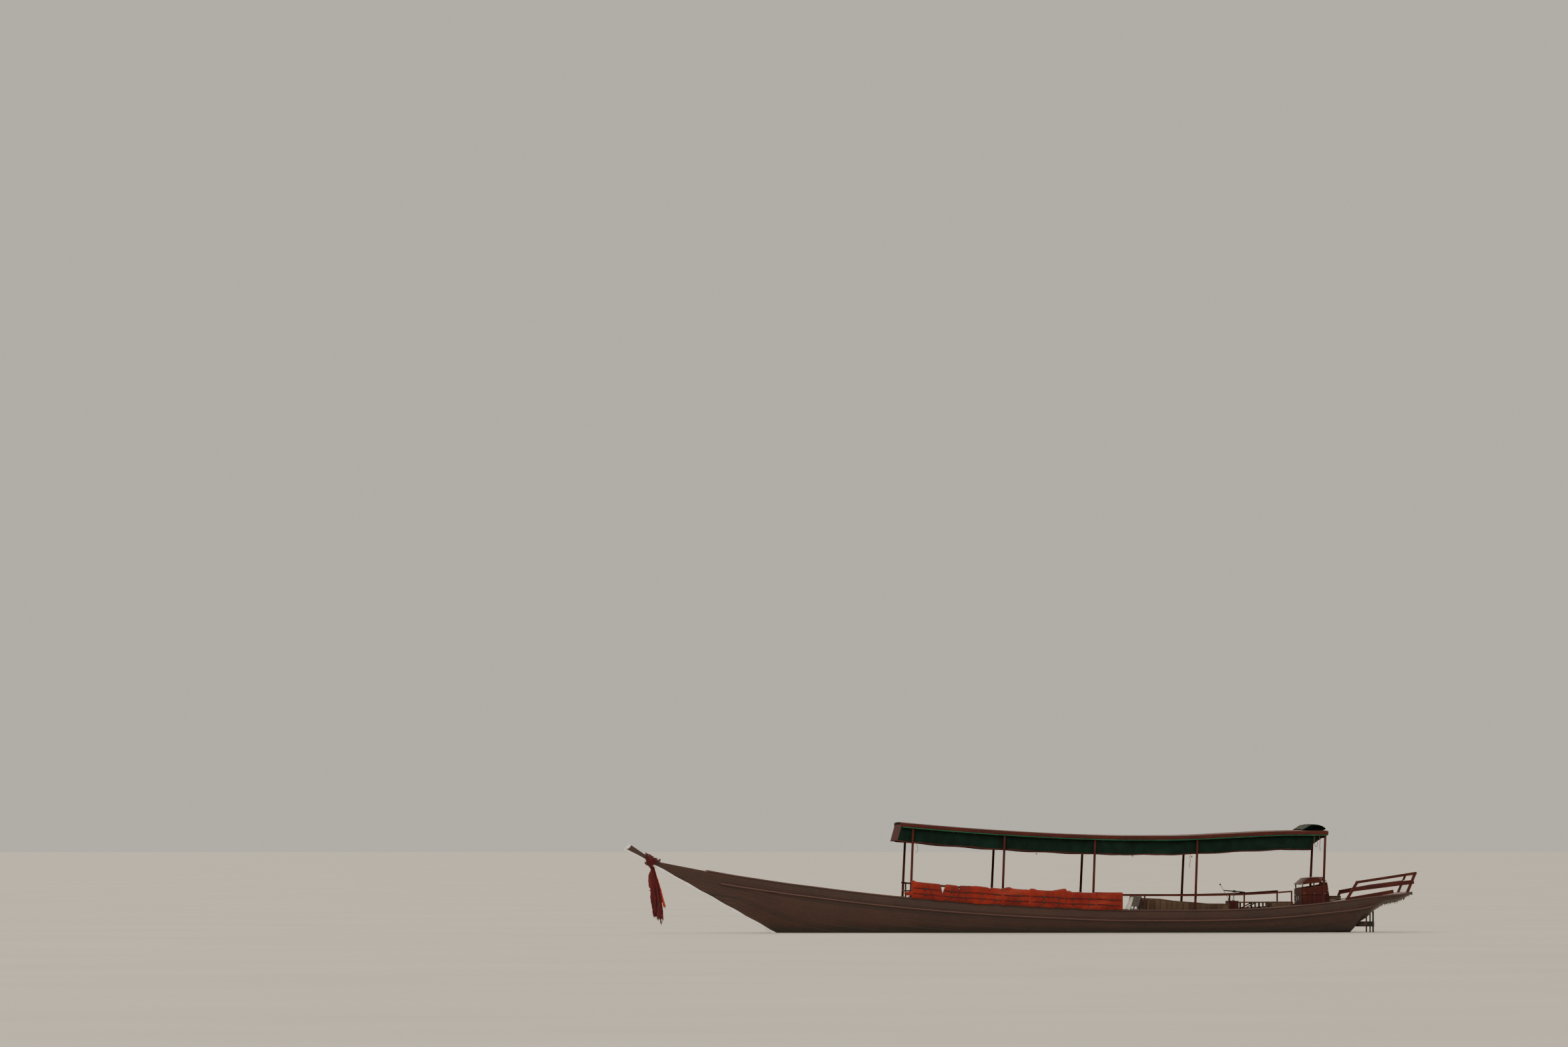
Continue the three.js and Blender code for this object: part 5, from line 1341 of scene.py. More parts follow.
def ribbons():
    pieces = [ribbon(f"ribbon_{i + 1}", *line) for i, line in enumerate(RIBBONS)]
    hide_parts("sash_tail")
    strand = Build()
    chance = random.Random(9)
    for i in range(STRAND["beads"]):
        t = i / (STRAND["beads"] - 1)
        centre = Vector((STRAND["x"] - 0.012 * math.sin(3.0 * t), -0.030 + 0.010 * math.sin(5 * t),
                         STRAND["top"] - STRAND["length"] * t))
        size = (0.025 + 0.006 * chance.random()) * (0.55 + 0.45 * min(1.0, 6 * t, 5 - 4.6 * t))
        rings = []
        for k in range(5):
            b = math.pi * (k + 0.5) / 5
            wide, tall = size * math.sin(b), 0.6 * size * math.cos(b)
            rings.append([centre + Vector((wide * math.cos(a) * (1 + 0.22 * math.sin(5 * a + i)),
                                           wide * math.sin(a) * (1 + 0.22 * math.cos(4 * a + i)), tall))
                          for a in (2 * math.pi * j / 12 for j in range(12))])
        strand.loft(rings)
    thread = smooth_path([(-6.880, -0.026, 1.210), (-6.890, -0.030, 1.160),
                          (STRAND["x"], -0.030, STRAND["top"])], 8)
    strand.tube(thread, 0.006, sides=8)
    low = STRAND["top"] - STRAND["length"]
    hook = smooth_path([(-6.892, -0.034, low), (-6.876, -0.032, low - 0.034), (-6.888, -0.034, low - 0.056),
                        (-6.912, -0.036, low - 0.046)], 14)
    strand.tube(hook, lambda t: 0.009 + 0.004 * t, sides=10)
    strand.piece("flower_strand", LOOKS["flowers"], angle=60)


wrap()
ribbons()


# Cords and small ties under the canopy
def string(name, path, diameter, look="rope", body=HULL):
    curve = bpy.data.curves.new(name, "CURVE")
    curve.dimensions = "3D"
    curve.bevel_depth = diameter / 2
    curve.bevel_resolution = 3
    curve.use_fill_caps = True
    line = curve.splines.new("POLY")
    line.points.add(len(path) - 1)
    for point, p in zip(line.points, path):
        point.co = (*p, 1)
    curve.materials.append(LOOKS[look])
    piece = bpy.data.objects.new(name, curve)
    scene.collection.objects.link(piece)
    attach(piece, body)
    length = sum(math.dist(a, b) for a, b in zip(path, path[1:]))
    return piece


def canopy_strings():
    cloth_y = -(roof_half(-2.02) - 0.055)
    string("loop_fore", smooth_path([(-2.050, cloth_y, 1.676), (-2.006, cloth_y - 0.012, 1.640),
                                     (-1.985, cloth_y - 0.018, 1.560), (-2.000, cloth_y - 0.014, 1.490),
                                     (-2.022, cloth_y - 0.010, 1.472)]), 0.009)
    y = -(roof_half(3.09) - 0.050)
    string("tail_middle", smooth_path([(3.090, y, 1.455), (3.072, y - 0.006, 1.400),
                                       (3.078, y - 0.010, 1.320), (3.062, y - 0.008, 1.250),
                                       (3.066, y - 0.008, 1.200)]), 0.011)
    y = -(roof_half(5.5) - 0.056)
    string("loop_aft", smooth_path([(5.440, y, 1.800), (5.420, y - 0.010, 1.720),
                                    (5.432, y - 0.012, 1.630), (5.462, y - 0.010, 1.592),
                                    (5.482, y - 0.008, 1.640), (5.474, y - 0.006, 1.700)]), 0.011)
    string("tail_aft", smooth_path([(5.520, y, 1.800), (5.532, y - 0.008, 1.700), (5.526, y - 0.010, 1.600),
                                    (5.540, y - 0.010, 1.510)]), 0.011)


canopy_strings()


# Scrap of clear plastic tied in the opening aft of the jackets
def scrap():
    rows, across = 16, 12
    head, low_left, low_right = (1.975, 0.668), (1.835, 0.438), (1.935, 0.436)
    points = []
    for r in range(rows + 1):
        t = r / rows
        for c in range(across + 1):
            s = c / across
            left = head[0] - 0.02 + (low_left[0] - head[0] + 0.02) * t
            right = head[0] + 0.03 + (low_right[0] - head[0] - 0.03) * t
            x = left + (right - left) * s
            z = head[1] + (low_left[1] - head[1]) * t + 0.012 * math.sin(6 * s) * t
            out = 0.010 * math.sin(5 * s + 4 * t) * t + 0.006
            points.append(Vector((x, -(rail_inner(x) + 0.012 + out), z)))
    faces = sheet_faces(rows, across)
    build = Build()
    build.add(points, faces)
    piece = build.piece("clear_scrap", LOOKS["scrap"], angle=80)
    thicken(piece, 0.0008)


scrap()


# Weed and rope fringe on the counter's lower edge
def fringe():
    build = Build()
    chance = random.Random(31)
    for _, sign in SIDES:
        for i in range(64):
            x = 6.700 + 0.570 * (i + chance.random()) / 64
            z = keel(x) + chance.uniform(0.004, 0.03)
            y = skin(x, z) + 0.004
            length = chance.uniform(0.025, 0.075) * (1 - 0.45 * abs((i - 30) / 34))
            root = Vector((x, sign * y, z + 0.012))
            sway = Vector((chance.uniform(-0.012, 0.012), sign * chance.uniform(0.0, 0.008), -length))
            path = [root, root + sway * 0.5 + Vector((0, sign * 0.003, 0)), root + sway]
            build.tube(path, lambda t: 0.0058 * (1 - 0.85 * t), sides=6)
    build.piece("weed_fringe", LOOKS["weed"], angle=80)


fringe()


# Seats and stowage
JOINT = 0.0018               # half the gap between two boards
LOCKER = {"start": 2.215, "end": 3.850, "half": 0.560, "wall": 0.022,
          "top": ((3.850, 0.536), (3.540, 0.534), (3.289, 0.556), (2.786, 0.596), (2.497, 0.634),
                  (2.300, 0.638))}
BOX_SEAT = {"start": 4.664, "end": 5.096, "half": 0.300, "top": 0.572, "wall": 0.020}
HELM_SEAT = {"start": 4.152, "end": 4.636, "half": 0.240, "top": 0.570, "thick": 0.026, "leg": 0.032}
LOW_BOX = {"start": 5.778, "end": 6.018, "half": 0.200, "top": 0.678}


def pairs(start, end, pitch):
    """Start and end of each board that shares out a width."""
    edges = steps(start, end, pitch)
    return [(a + JOINT, b - JOINT) for a, b in zip(edges, edges[1:])]


def strip(outline, low, high):
    """The part of an outline of (x, z) points between two values of x."""
    outline = list(outline)
    for limit, keep in ((low, 1), (high, -1)):
        kept = []
        for a, b in zip(outline, outline[1:] + outline[:1]):
            inside, next_inside = keep * (a[0] - limit) >= 0, keep * (b[0] - limit) >= 0
            if inside:
                kept.append(a)
            if inside != next_inside:
                t = (limit - a[0]) / (b[0] - a[0])
                kept.append((limit, a[1] + t * (b[1] - a[1])))
        outline = kept
    return outline


def stands_for(node, *pieces):
    for piece, slot in pieces:
        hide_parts(node)


def bench(index):
    """Plank seat on two boarded cross frames, with a raked back of two boards on three uprights."""
    x = BENCH["last"] - BENCH["pitch"] * (4 - index)
    seat, wide = BENCH["seat"], half(x) - BENCH["side"]
    thick, face, upright = 0.028, 0.014, 0.050
    boards, frame, bolts = Build(), Build(), Build()

    def lean(z, out=0.0):
        return x + BENCH["rake"] * (z - seat) + out

    for a, b in pairs(x - BENCH["deep"], x + 0.020, 0.130):
        rings = []
        for end in (a, b):
            low, top = inner(end, seat - thick) - 0.004, inner(end, seat) - 0.004
            rings.append([(end, -low, seat - thick), (end, low, seat - thick), (end, top, seat),
                          (end, -top, seat)])
        boards.loft(rings)
    for x0 in (x - BENCH["deep"] + 0.040, x - 0.040):
        for z0, z1 in pairs(floor_top(x) + CLEAR, seat - thick, 0.11):
            rings = []
            for z in (z0, z1):
                y = min(inner(x0, z), inner(x0 + 0.022, z)) - 0.004
                rings.append([(x0, -y, z), (x0, y, z), (x0 + 0.022, y, z), (x0 + 0.022, -y, z)])
            frame.loft(rings)
    backs = ((seat + 0.070, seat + 0.205), (seat + 0.245, BENCH["back"]))
    for low, high in backs:
        boards.plate([(lean(low), low), (lean(high), high), (lean(high, face), high), (lean(low, face), low)],
                     -wide, wide)
    foot, head = seat - 0.040, BENCH["back"] - 0.030
    for y in (-wide + 0.060, -upright / 2, wide - 0.060 - upright):
        frame.plate([(lean(foot, face + CLEAR), foot), (lean(head, face + CLEAR), head),
                     (lean(head, 0.036), head), (lean(foot, 0.036), foot)], y, y + upright)
        for low, high in backs:
            for z in (low + 0.030, high - 0.030):
                bolts.bolt((lean(z, 0.0002), y + upright / 2, z), (-1, 0, BENCH["rake"]), 0.006)
    number = index + 1
    stands_for(f"bench_{number}",
               (boards.piece(f"bench_{number}_boards", LOOKS["cross"], bevel=0.004), "deck"),
               (frame.piece(f"bench_{number}_frame", LOOKS["frame"], bevel=0.003), "frame"),
               (bolts.piece(f"bench_{number}_bolts", LOOKS["steel"], angle=50), "steel"))


def boarded(outline, half_width, wall, pitch=0.105):
    """Two side walls of upright boards, cut to an outline of (x, z) points."""
    build = Build()
    start, end = min(x for x, _ in outline), max(x for x, _ in outline)
    for a, b in pairs(start, end, pitch):
        for _, sign in SIDES:
            y0, y1 = sorted((sign * (half_width - wall), sign * half_width))
            build.plate(strip(outline, a, b), y0, y1)
    return build


def end_wall(build, at, low, high, half_width, wall, pitch=0.12):
    """Boards across the boat; at(z) is the wall's outer face, and its thickness goes inward."""
    for z0, z1 in pairs(low, high, pitch):
        build.plate([(at(z0), z0), (at(z1), z1), (at(z1) + wall, z1), (at(z0) + wall, z0)],
                    -half_width, half_width)


def locker():
    wall, base = LOCKER["wall"], floor_top(LOCKER["start"]) + CLEAR
    top = LOCKER["top"]
    head_x, head_z = top[-1]
    outline = [(LOCKER["start"] + wall, base), (LOCKER["end"] - wall, base)]
    outline += [(min(x, LOCKER["end"] - wall), z - wall - 0.001) for x, z in top]
    outline[-1] = (head_x + wall, outline[-1][1])
    sides = boarded(outline, LOCKER["half"], wall)
    ends = Build()
    slope = (head_x - LOCKER["start"]) / (head_z - base)
    end_wall(ends, lambda z: LOCKER["start"] + slope * (z - base), base, head_z - wall - 0.001,
             LOCKER["half"], wall)
    end_wall(ends, lambda z: LOCKER["end"], base, top[0][1] - wall - 0.001, LOCKER["half"], -wall)
    lid = Build()
    line = sorted(top)
    for a, b in pairs(-LOCKER["half"], LOCKER["half"], 0.140):
        xs = steps(line[0][0], line[-1][0], 0.12)
        lid.loft([[(x, a, fair(line, 1, x) - wall), (x, b, fair(line, 1, x) - wall), (x, b, fair(line, 1, x)),
                   (x, a, fair(line, 1, x))] for x in xs])
    stands_for("locker", (sides.piece("locker_sides", LOOKS["upright"], bevel=0.003), "deck"),
               (ends.piece("locker_ends", LOOKS["cross"], bevel=0.003), "deck"),
               (lid.piece("locker_top", LOOKS["deck"], bevel=0.004), "deck"))


def chest(name, node, size, base, wall, plank, overhang=0.0):
    """A boarded box with a top of planks across the boat."""
    start, end, half_width, top = size["start"], size["end"], size["half"], size["top"]
    under = top - wall - 0.0005
    sides = boarded([(start + wall, base), (end - wall, base), (end - wall, under), (start + wall, under)],
                    half_width - overhang, wall)
    across = Build()
    end_wall(across, lambda z: start + overhang, base, under, half_width - overhang, wall)
    end_wall(across, lambda z: end - overhang, base, under, half_width - overhang, -wall)
    for a, b in pairs(start, end, plank):
        across.box((a, -half_width, under), (b, half_width, top))
    stands_for(node, (sides.piece(f"{name}_sides", LOOKS["upright"], bevel=0.003), "deck"),
               (across.piece(f"{name}_boards", LOOKS["cross"], bevel=0.003), "deck"))


def helm_seat():
    start, end, top, leg = HELM_SEAT["start"], HELM_SEAT["end"], HELM_SEAT["top"], HELM_SEAT["leg"]
    side, under = HELM_SEAT["half"] - 0.020, top - HELM_SEAT["thick"]
    planks, frame = Build(), Build()
    for a, b in pairs(start, end, 0.12):
        planks.box((a, -HELM_SEAT["half"], under), (b, HELM_SEAT["half"], top))
    for _, sign in SIDES:
        y0, y1 = sorted((sign * side - leg / 2, sign * side + leg / 2))
        for x in (start + 0.010, 4.372, 4.518, end - 0.045):
            frame.box((x, y0, floor_top(x + leg) + CLEAR), (x + leg, y1, under))
        frame.plate([(start + 0.026, 0.427), (4.388, 0.535), (4.388, 0.561), (start + 0.026, 0.453)],
                    sign * side - 0.010, sign * side + 0.010)
        frame.box((start + 0.010, sign * side - 0.014, 0.405), (end - 0.013, sign * side + 0.014, 0.435))
    for x in (start + 0.016, end - 0.040):
        frame.box((x, -side, 0.408), (x + 0.024, side, 0.432))
    stands_for("helm_seat", (planks.piece("helm_seat_planks", LOOKS["cross"], bevel=0.004), "deck"),
               (frame.piece("helm_seat_frame", LOOKS["frame"], bevel=0.003), "frame"))


for number in range(5):
    bench(number)
locker()
chest("box_seat", "box_seat", BOX_SEAT, floor_top(BOX_SEAT["end"]) + CLEAR, BOX_SEAT["wall"], 0.11)
chest("low_box", "low_box", LOW_BOX, sheer(LOW_BOX["end"]) - AFT_DECK["below"] + CLEAR, 0.014, 0.12, 0.008)
helm_seat()


# Helm
CONSOLE = {"start": 3.897, "end": 4.081, "half": 0.210, "top": 0.585}
WHEEL_AXIS = Vector((WHEEL["tilt"], 0, 1)).normalized()
WHEEL_AT = Vector((WHEEL["x"], 0, WHEEL["z"]))
DIAL = {"z": 0.475, "face": 0.0072, "marks": 0.031}
LEVER = {"y": -0.120, "foot": (3.915, 0.603), "head": (3.747, 0.891), "knob": 0.017}


def console():
    """Boarded console with a top board, two dials and a row of switches towards the seat."""
    start, end, wide, top = CONSOLE["start"], CONSOLE["end"], CONSOLE["half"], CONSOLE["top"]
    wall, base = 0.018, floor_top(CONSOLE["end"]) + CLEAR
    under = top - wall
    body = boarded([(start + wall, base), (end - wall, base), (end - wall, under), (start + wall, under)],
                   wide, wall, 0.08)
    for x0 in (start, end - wall):
        for a, b in pairs(-wide, wide, 0.105):
            body.box((x0, a, base), (x0 + wall, b, under))
    body.box((start, -wide, under + 0.0005), (end, wide, top))
    dials, plates, column = Build(), Build(), Build()
    for y in (-0.085, 0.085):
        dials.lathe((end, y, DIAL["z"]), (1, 0, 0),
                    ((0.046, 0.0), (0.046, 0.007), (0.041, 0.0105), (0.0385, 0.0105),
                     (0.038, 0.006), (0.001, 0.006)), sides=32)
        plates.lathe((end, y, DIAL["z"]), (1, 0, 0),
                     ((0.0375, 0.0062), (0.0375, DIAL["face"]), (0.001, DIAL["face"])), sides=32)
        needle = [(-0.0015, -0.010), (0.0015, -0.010), (0.0006, 0.028), (-0.0006, 0.028)]
        dials.loft([[(end + 0.0074 + d, y + a, DIAL["z"] + h) for a, h in needle] for d in (0.0, 0.0012)])
        dials.lathe((end + DIAL["face"], y, DIAL["z"]), (1, 0, 0),
                    ((0.004, 0.0), (0.004, 0.002), (0.002, 0.003)), sides=12)
        for i in range(9):
            a = math.radians(-120 + 30 * i)
            spot = Vector((end + DIAL["face"], y + DIAL["marks"] * math.sin(a),
                           DIAL["z"] + DIAL["marks"] * math.cos(a)))
            dials.lathe(spot, (1, 0, 0), ((0.0014, 0.0), (0.0014, 0.0008)), sides=6)
    for i in range(4):
        spot = Vector((end, -0.060 + 0.040 * i, 0.375))
        dials.lathe(spot, (1, 0, 0), ((0.010, 0.0), (0.010, 0.004), (0.006, 0.006), (0.005, 0.010)), sides=12)
        tip = spot + Vector((0.022, 0, -0.010 if i % 2 else 0.010))
        dials.tube([spot + Vector((0.009, 0, 0)), tip], 0.003, sides=8)
    foot = WHEEL_AT - WHEEL_AXIS * ((WHEEL["z"] - top) / WHEEL_AXIS.z)
    column.lathe(foot, WHEEL_AXIS,
                 ((0.036, -0.002), (0.036, 0.006), (0.022, 0.012), (0.0175, 0.030), (0.015, 0.034),
                  (0.015, (WHEEL["z"] - top) - 0.022)), sides=24)
    for i in range(4):
        a = math.pi * (0.25 + 0.5 * i)
        off = Vector((0.029 * math.cos(a), 0.029 * math.sin(a), 0.0075 - 0.003 * math.cos(a)))
        column.bolt(foot + off, WHEEL_AXIS, 0.004)
    stands_for("helm_console", (body.piece("console_boards", LOOKS["post"], bevel=0.003), "paint"),
               (dials.piece("console_dials", LOOKS["rubber"], angle=40), "rubber"),
               (plates.piece("console_dial_plates", LOOKS["ivory"], angle=40), "steel"),
               (column.piece("steering_column", LOOKS["steel"], angle=40), "steel"))


def steering_wheel():
    """Rubber-rimmed wheel with finger grips, three flat spokes and a capped hub."""
    u = Vector((1, 0, -WHEEL["tilt"])).normalized()
    w = Vector((0, 1, 0))
    rim, metalwork = Build(), Build()
    turns = [2 * math.pi * i / 120 for i in range(120)]
    radius = WHEEL["radius"]
    path = [WHEEL_AT + u * (radius * math.cos(a)) + w * (radius * math.sin(a)) for a in turns]
    rim.tube(path, lambda t: WHEEL["grip"] - 0.0008 + 0.0009 * math.cos(2 * math.pi * 30 * t), sides=12,
             closed=True)
    rim.lathe(WHEEL_AT, WHEEL_AXIS, ((0.034, -0.020), (0.035, -0.004), (0.031, 0.008), (0.026, 0.016),
                                     (0.015, 0.020), (0.004, 0.021)), sides=32)
    for i in range(3):
        a = 2 * math.pi * i / 3 + math.pi / 2
        ahead = u * math.cos(a) + w * math.sin(a)
        across = WHEEL_AXIS.cross(ahead)
        rings = []
        for t in (0.0, 0.3, 0.7, 1.0):
            spot = WHEEL_AT + ahead * (0.024 + (WHEEL["radius"] - 0.030) * t) - WHEEL_AXIS * (0.006 * (1 - t))
            wide, tall = 0.013 - 0.004 * t, 0.0032
            rings.append([spot + across * (wide * math.cos(b)) + WHEEL_AXIS * (tall * math.sin(b))
                          for b in (2 * math.pi * k / 12 for k in range(12))])
        metalwork.loft(rings)
    metalwork.bolt(WHEEL_AT + WHEEL_AXIS * 0.0208, WHEEL_AXIS, 0.006)
    stands_for("steering_wheel", (rim.piece("wheel_rim", LOOKS["rubber"], body="wheel", angle=50), "rubber"),
               (metalwork.piece("wheel_spokes", LOOKS["steel"], body="wheel", angle=50), "steel"))


def gear_lever():
    y = LEVER["y"]
    foot, head = (Vector((x, y, z)) for x, z in (LEVER["foot"], LEVER["head"]))
    rod, grip = Build(), Build()
    rod.tube([foot.lerp(head, i / 8) for i in range(9)], lambda t: 0.0062 - 0.0014 * t, sides=12)
    axis = (head - foot).normalized()
    grip.lathe(head, axis, [(LEVER["knob"] * math.sin(a), -LEVER["knob"] * math.cos(a)) for a in
                            (math.pi * (k + 0.5) / 9 for k in range(9))], sides=20)
    bellows = [(0.024 - 0.0022 * k + (0.002 if k % 2 else 0.0), 0.003 + 0.0045 * k) for k in range(8)]
    grip.lathe(foot - Vector((0, 0, 0.008)), axis * 0.5 + Vector((0, 0, 0.6)), bellows, sides=20)
    x, z = LEVER["foot"][0], CONSOLE["top"] + CLEAR
    grip.loft([[(x + a, y + b, z + h) for a, b in rounded(-0.015, 0.030, -0.025, 0.025, 0.006)]
               for h in (0.0, 0.006)])
    stands_for("gear_lever", (rod.piece("lever_rod", LOOKS["steel"], angle=50), "steel"),
               (grip.piece("lever_grip", LOOKS["rubber"], angle=50), "rubber"))


console()
steering_wheel()
gear_lever()


# Engine box and its raised lid
ENGINE_BOX = {"front": 5.229, "aft": 5.765, "foot": 5.825, "half": 0.395, "floor": 0.060, "wall": 0.022,
              "rim": 0.818, "rim_aft": (5.655, 0.882), "knee": 0.631, "head": (5.718, 0.932)}
LID = {"front": (5.221, 0.893), "bend": (5.357, 1.012), "aft": (5.668, 1.027), "half": 0.409, "thick": 0.022,
       "gable": 0.020, "gable_foot": ((5.664, 0.985), (5.590, 0.926), (5.400, 0.908), (5.240, 0.884)),
       "legs": (5.244, 5.588), "leg": 0.024, "arm_y": 0.270}
HINGE = {"x": 5.711, "z": 0.948, "pin": 0.009}
LID_BODY = "engine_lid"


def engine_box():
    """Upright boards on the sides, boards across front and back, battens, and a hasp."""
    box = ENGINE_BOX
    front, wall, half_width, floor = box["front"], box["wall"], box["half"], box["floor"]
    slant = (box["foot"] - box["aft"]) / (box["knee"] - floor)

    def aft_face(z):
        if z < box["knee"]:
            return box["foot"] - slant * (z - floor)
        return box["aft"] - (box["aft"] - box["head"][0]) * (z - box["knee"]) / (box["head"][1] - box["knee"])

    outline = [(front + wall, floor), (aft_face(floor) - wall, floor),
               (aft_face(box["knee"]) - wall, box["knee"]), (aft_face(0.895) - wall, 0.895),
               box["rim_aft"], (front + wall, box["rim"] + 0.0035)]
    sides = boarded(outline, half_width, wall, 0.088)
    across = Build()
    end_wall(across, lambda z: front, floor, box["rim"], half_width, wall, 0.125)
    end_wall(across, aft_face, floor, box["knee"], half_width, -wall, 0.145)
    end_wall(across, aft_face, box["knee"], 0.932, half_width, -wall, 0.16)
    for z in (0.130, 0.700):
        for _, sign in SIDES:
            y0, y1 = sorted((sign * half_width, sign * (half_width + 0.010)))
            across.box((front + 0.004, y0, z), (aft_face(z + 0.045) - 0.004, y1, z + 0.045))
    fittings = Build()
    for z in (0.152, 0.722):
        for x in steps(front + 0.05, box["rim_aft"][0] + 0.020, 0.16):
            for _, sign in SIDES:
                fittings.bolt((x, sign * (half_width + 0.010), z), (0, sign, 0), 0.005)
    for y in (-0.11, 0.11):
        fittings.loft([[(front + d, y + a, 0.62 + b) for a, b in rounded(-0.022, 0.022, -0.05, 0.05, 0.006)]
                       for d in (-0.0005, -0.004)])
        fittings.tube([(front - 0.004, y, 0.65), (front - 0.030, y, 0.645), (front - 0.032, y, 0.62),
                       (front - 0.030, y, 0.595), (front - 0.004, y, 0.59)], 0.004, sides=8)
    stands_for("engine_box", (sides.piece("engine_box_sides", LOOKS["post"], bevel=0.003), "paint"),
               (across.piece("engine_box_boards", LOOKS["crosswise"], bevel=0.003), "paint"),
               (fittings.piece("engine_box_fittings", LOOKS["steel"], angle=45), "steel"))


def engine_lid():
    """Boards along the boat between two side boards, on four legs, with two hinge arms."""
    boards, legs, fittings = Build(), Build(), Build()
    thick = LID["thick"]
    (fore_x, fore_z), (bend_x, bend_z), (aft_x, aft_z) = LID["front"], LID["bend"], LID["aft"]
    stops = [LID["front"], (0.5 * (fore_x + bend_x), 0.5 * (fore_z + bend_z) + 0.002)]
    stops += [LID["bend"], (5.500, 1.0205), LID["aft"]]
    for a, b in pairs(-LID["half"], LID["half"], 0.102):
        rings = []
        for i, (x, z) in enumerate(stops):
            drop = 0.010 if i == 0 else thick * 0.75
            rings.append([(x, a, z - drop), (x, b, z - drop), (x, b, z), (x, a, z)])
        boards.loft(rings)
    box = ENGINE_BOX
    slope = (box["rim_aft"][1] - box["rim"]) / (box["rim_aft"][0] - box["front"])

    def under(x):
        (ax, az), (bx, bz) = (LID["front"], LID["bend"]) if x < LID["bend"][0] else (LID["bend"], LID["aft"])
        return az + (bz - az) * (x - ax) / (bx - ax) - thick * 0.75

    for x in LID["legs"]:
        foot = box["rim"] + slope * (x + LID["leg"] - box["front"]) + CLEAR
        for _, sign in SIDES:
            y0, y1 = sorted((sign * (box["half"] - 0.022), sign * (LID["half"] - LID["gable"] - 0.0005)))
            legs.box((x, y0, foot), (x + LID["leg"], y1, under(x) - 0.0005))
            for dz in (0.016, 0.040):
                fittings.bolt((x + 0.012, sign * LID["half"], under(x) - dz), (0, sign, 0), 0.005)
    gables = Build()
    for _, sign in SIDES:
        y0, y1 = sorted((sign * LID["half"], sign * (LID["half"] - LID["gable"])))
        head = [(x, under(x) - 0.0005) for x in (fore_x + 0.012, bend_x, aft_x - 0.001)]
        gables.plate([*head, *LID["gable_foot"]], y0, y1)
    high = aft_z - thick / 2
    pin_x, pin_z = HINGE["x"], HINGE["z"]
    for _, sign in SIDES:
        y = sign * LID["arm_y"]
        fittings.plate([(aft_x - 0.028, high - 0.004), (aft_x - 0.002, high - 0.002),
                        (pin_x + 0.010, pin_z + 0.010), (pin_x - 0.014, pin_z)], y - 0.020, y + 0.020)
        fittings.tube([(pin_x, y - 0.045, pin_z), (pin_x, y + 0.045, pin_z)], HINGE["pin"], sides=16)
        fittings.plate([(aft_x - 0.150, aft_z - 0.0065), (aft_x - 0.004, aft_z + CLEAR),
                        (aft_x - 0.004, aft_z + 0.0036), (aft_x - 0.150, aft_z - 0.0032)],
                       y - 0.018, y + 0.018)
        for dx in (-0.135, -0.090, -0.045):
            fittings.bolt((aft_x + dx, y, aft_z + 0.0038 + dx * 0.047), (0, 0, 1), 0.005)
    stands_for("engine_box_lid",
               (boards.piece("lid_boards", LOOKS["paint"], body=LID_BODY, bevel=0.003), "paint"),
               (gables.piece("lid_sides", LOOKS["paint"], body=LID_BODY, bevel=0.003), "paint"),
               (legs.piece("lid_legs", LOOKS["post"], body=LID_BODY, bevel=0.002), "paint"),
               (fittings.piece("lid_hinges", LOOKS["steel"], body=LID_BODY, angle=45), "steel"))


engine_box()
engine_lid()


# Propeller and rudder
SHAFT_AT = Vector((6.400, 0, -0.200))
SHAFT_AXIS = Vector((1, 0, -0.2666)).normalized()
BLADE = ((0.020, 0.060, 0.90), (0.070, 0.104, 0.72), (0.110, 0.128, 0.58), (0.145, 0.112, 0.48),
         (0.162, 0.080, 0.44), (0.170, 0.034, 0.42))
RUDDER = {"x": 6.652, "stock": 0.016, "top": 0.395, "pintle": 0.010, "heel": -0.401, "half": 0.009,
          "outline": ((6.590, -0.325), (6.650, -0.365), (6.830, -0.345), (6.860, -0.130), (6.820, -0.070),
                      (6.600, -0.070))}


def propeller():
    build = Build()
    build.lathe(SHAFT_AT, SHAFT_AXIS,
                ((0.026, -0.048), (0.034, -0.040), (0.034, 0.0), (0.029, 0.040), (0.024, 0.048),
                 (0.0215, 0.0485), (0.0215, 0.056), (0.018, 0.062)), sides=32)
    turn = Vector((0, 1, 0)).rotation_difference(SHAFT_AXIS)
    for i in range(3):
        spin = Matrix.Rotation(2 * math.pi * i / 3, 3, "Y")
        rings = []
        for r in [0.020 + 0.150 * k / 14 for k in range(15)]:
            chord, twist = fair(BLADE, 1, r), fair(BLADE, 2, r)
            thick = 0.0048 - 0.0026 * (r / 0.170)
            ring = []
            for k in range(16):
                a = 2 * math.pi * k / 16
                camber_here = 0.10 * chord * (math.cos(a) ** 2 - 0.5) * 0.5
                u, w = 0.5 * chord * math.cos(a), thick * math.sin(a) + camber_here
                ring.append(SHAFT_AT + turn @ (spin @ Vector((u * math.cos(twist) + w * math.sin(twist),
                                                              u * math.sin(twist) - w * math.cos(twist), r))))
            rings.append(ring)
        build.loft(rings)
    stands_for("propeller",
               (build.piece("propeller_bronze", LOOKS["bronze"], body="screw", angle=50), "bronze"))


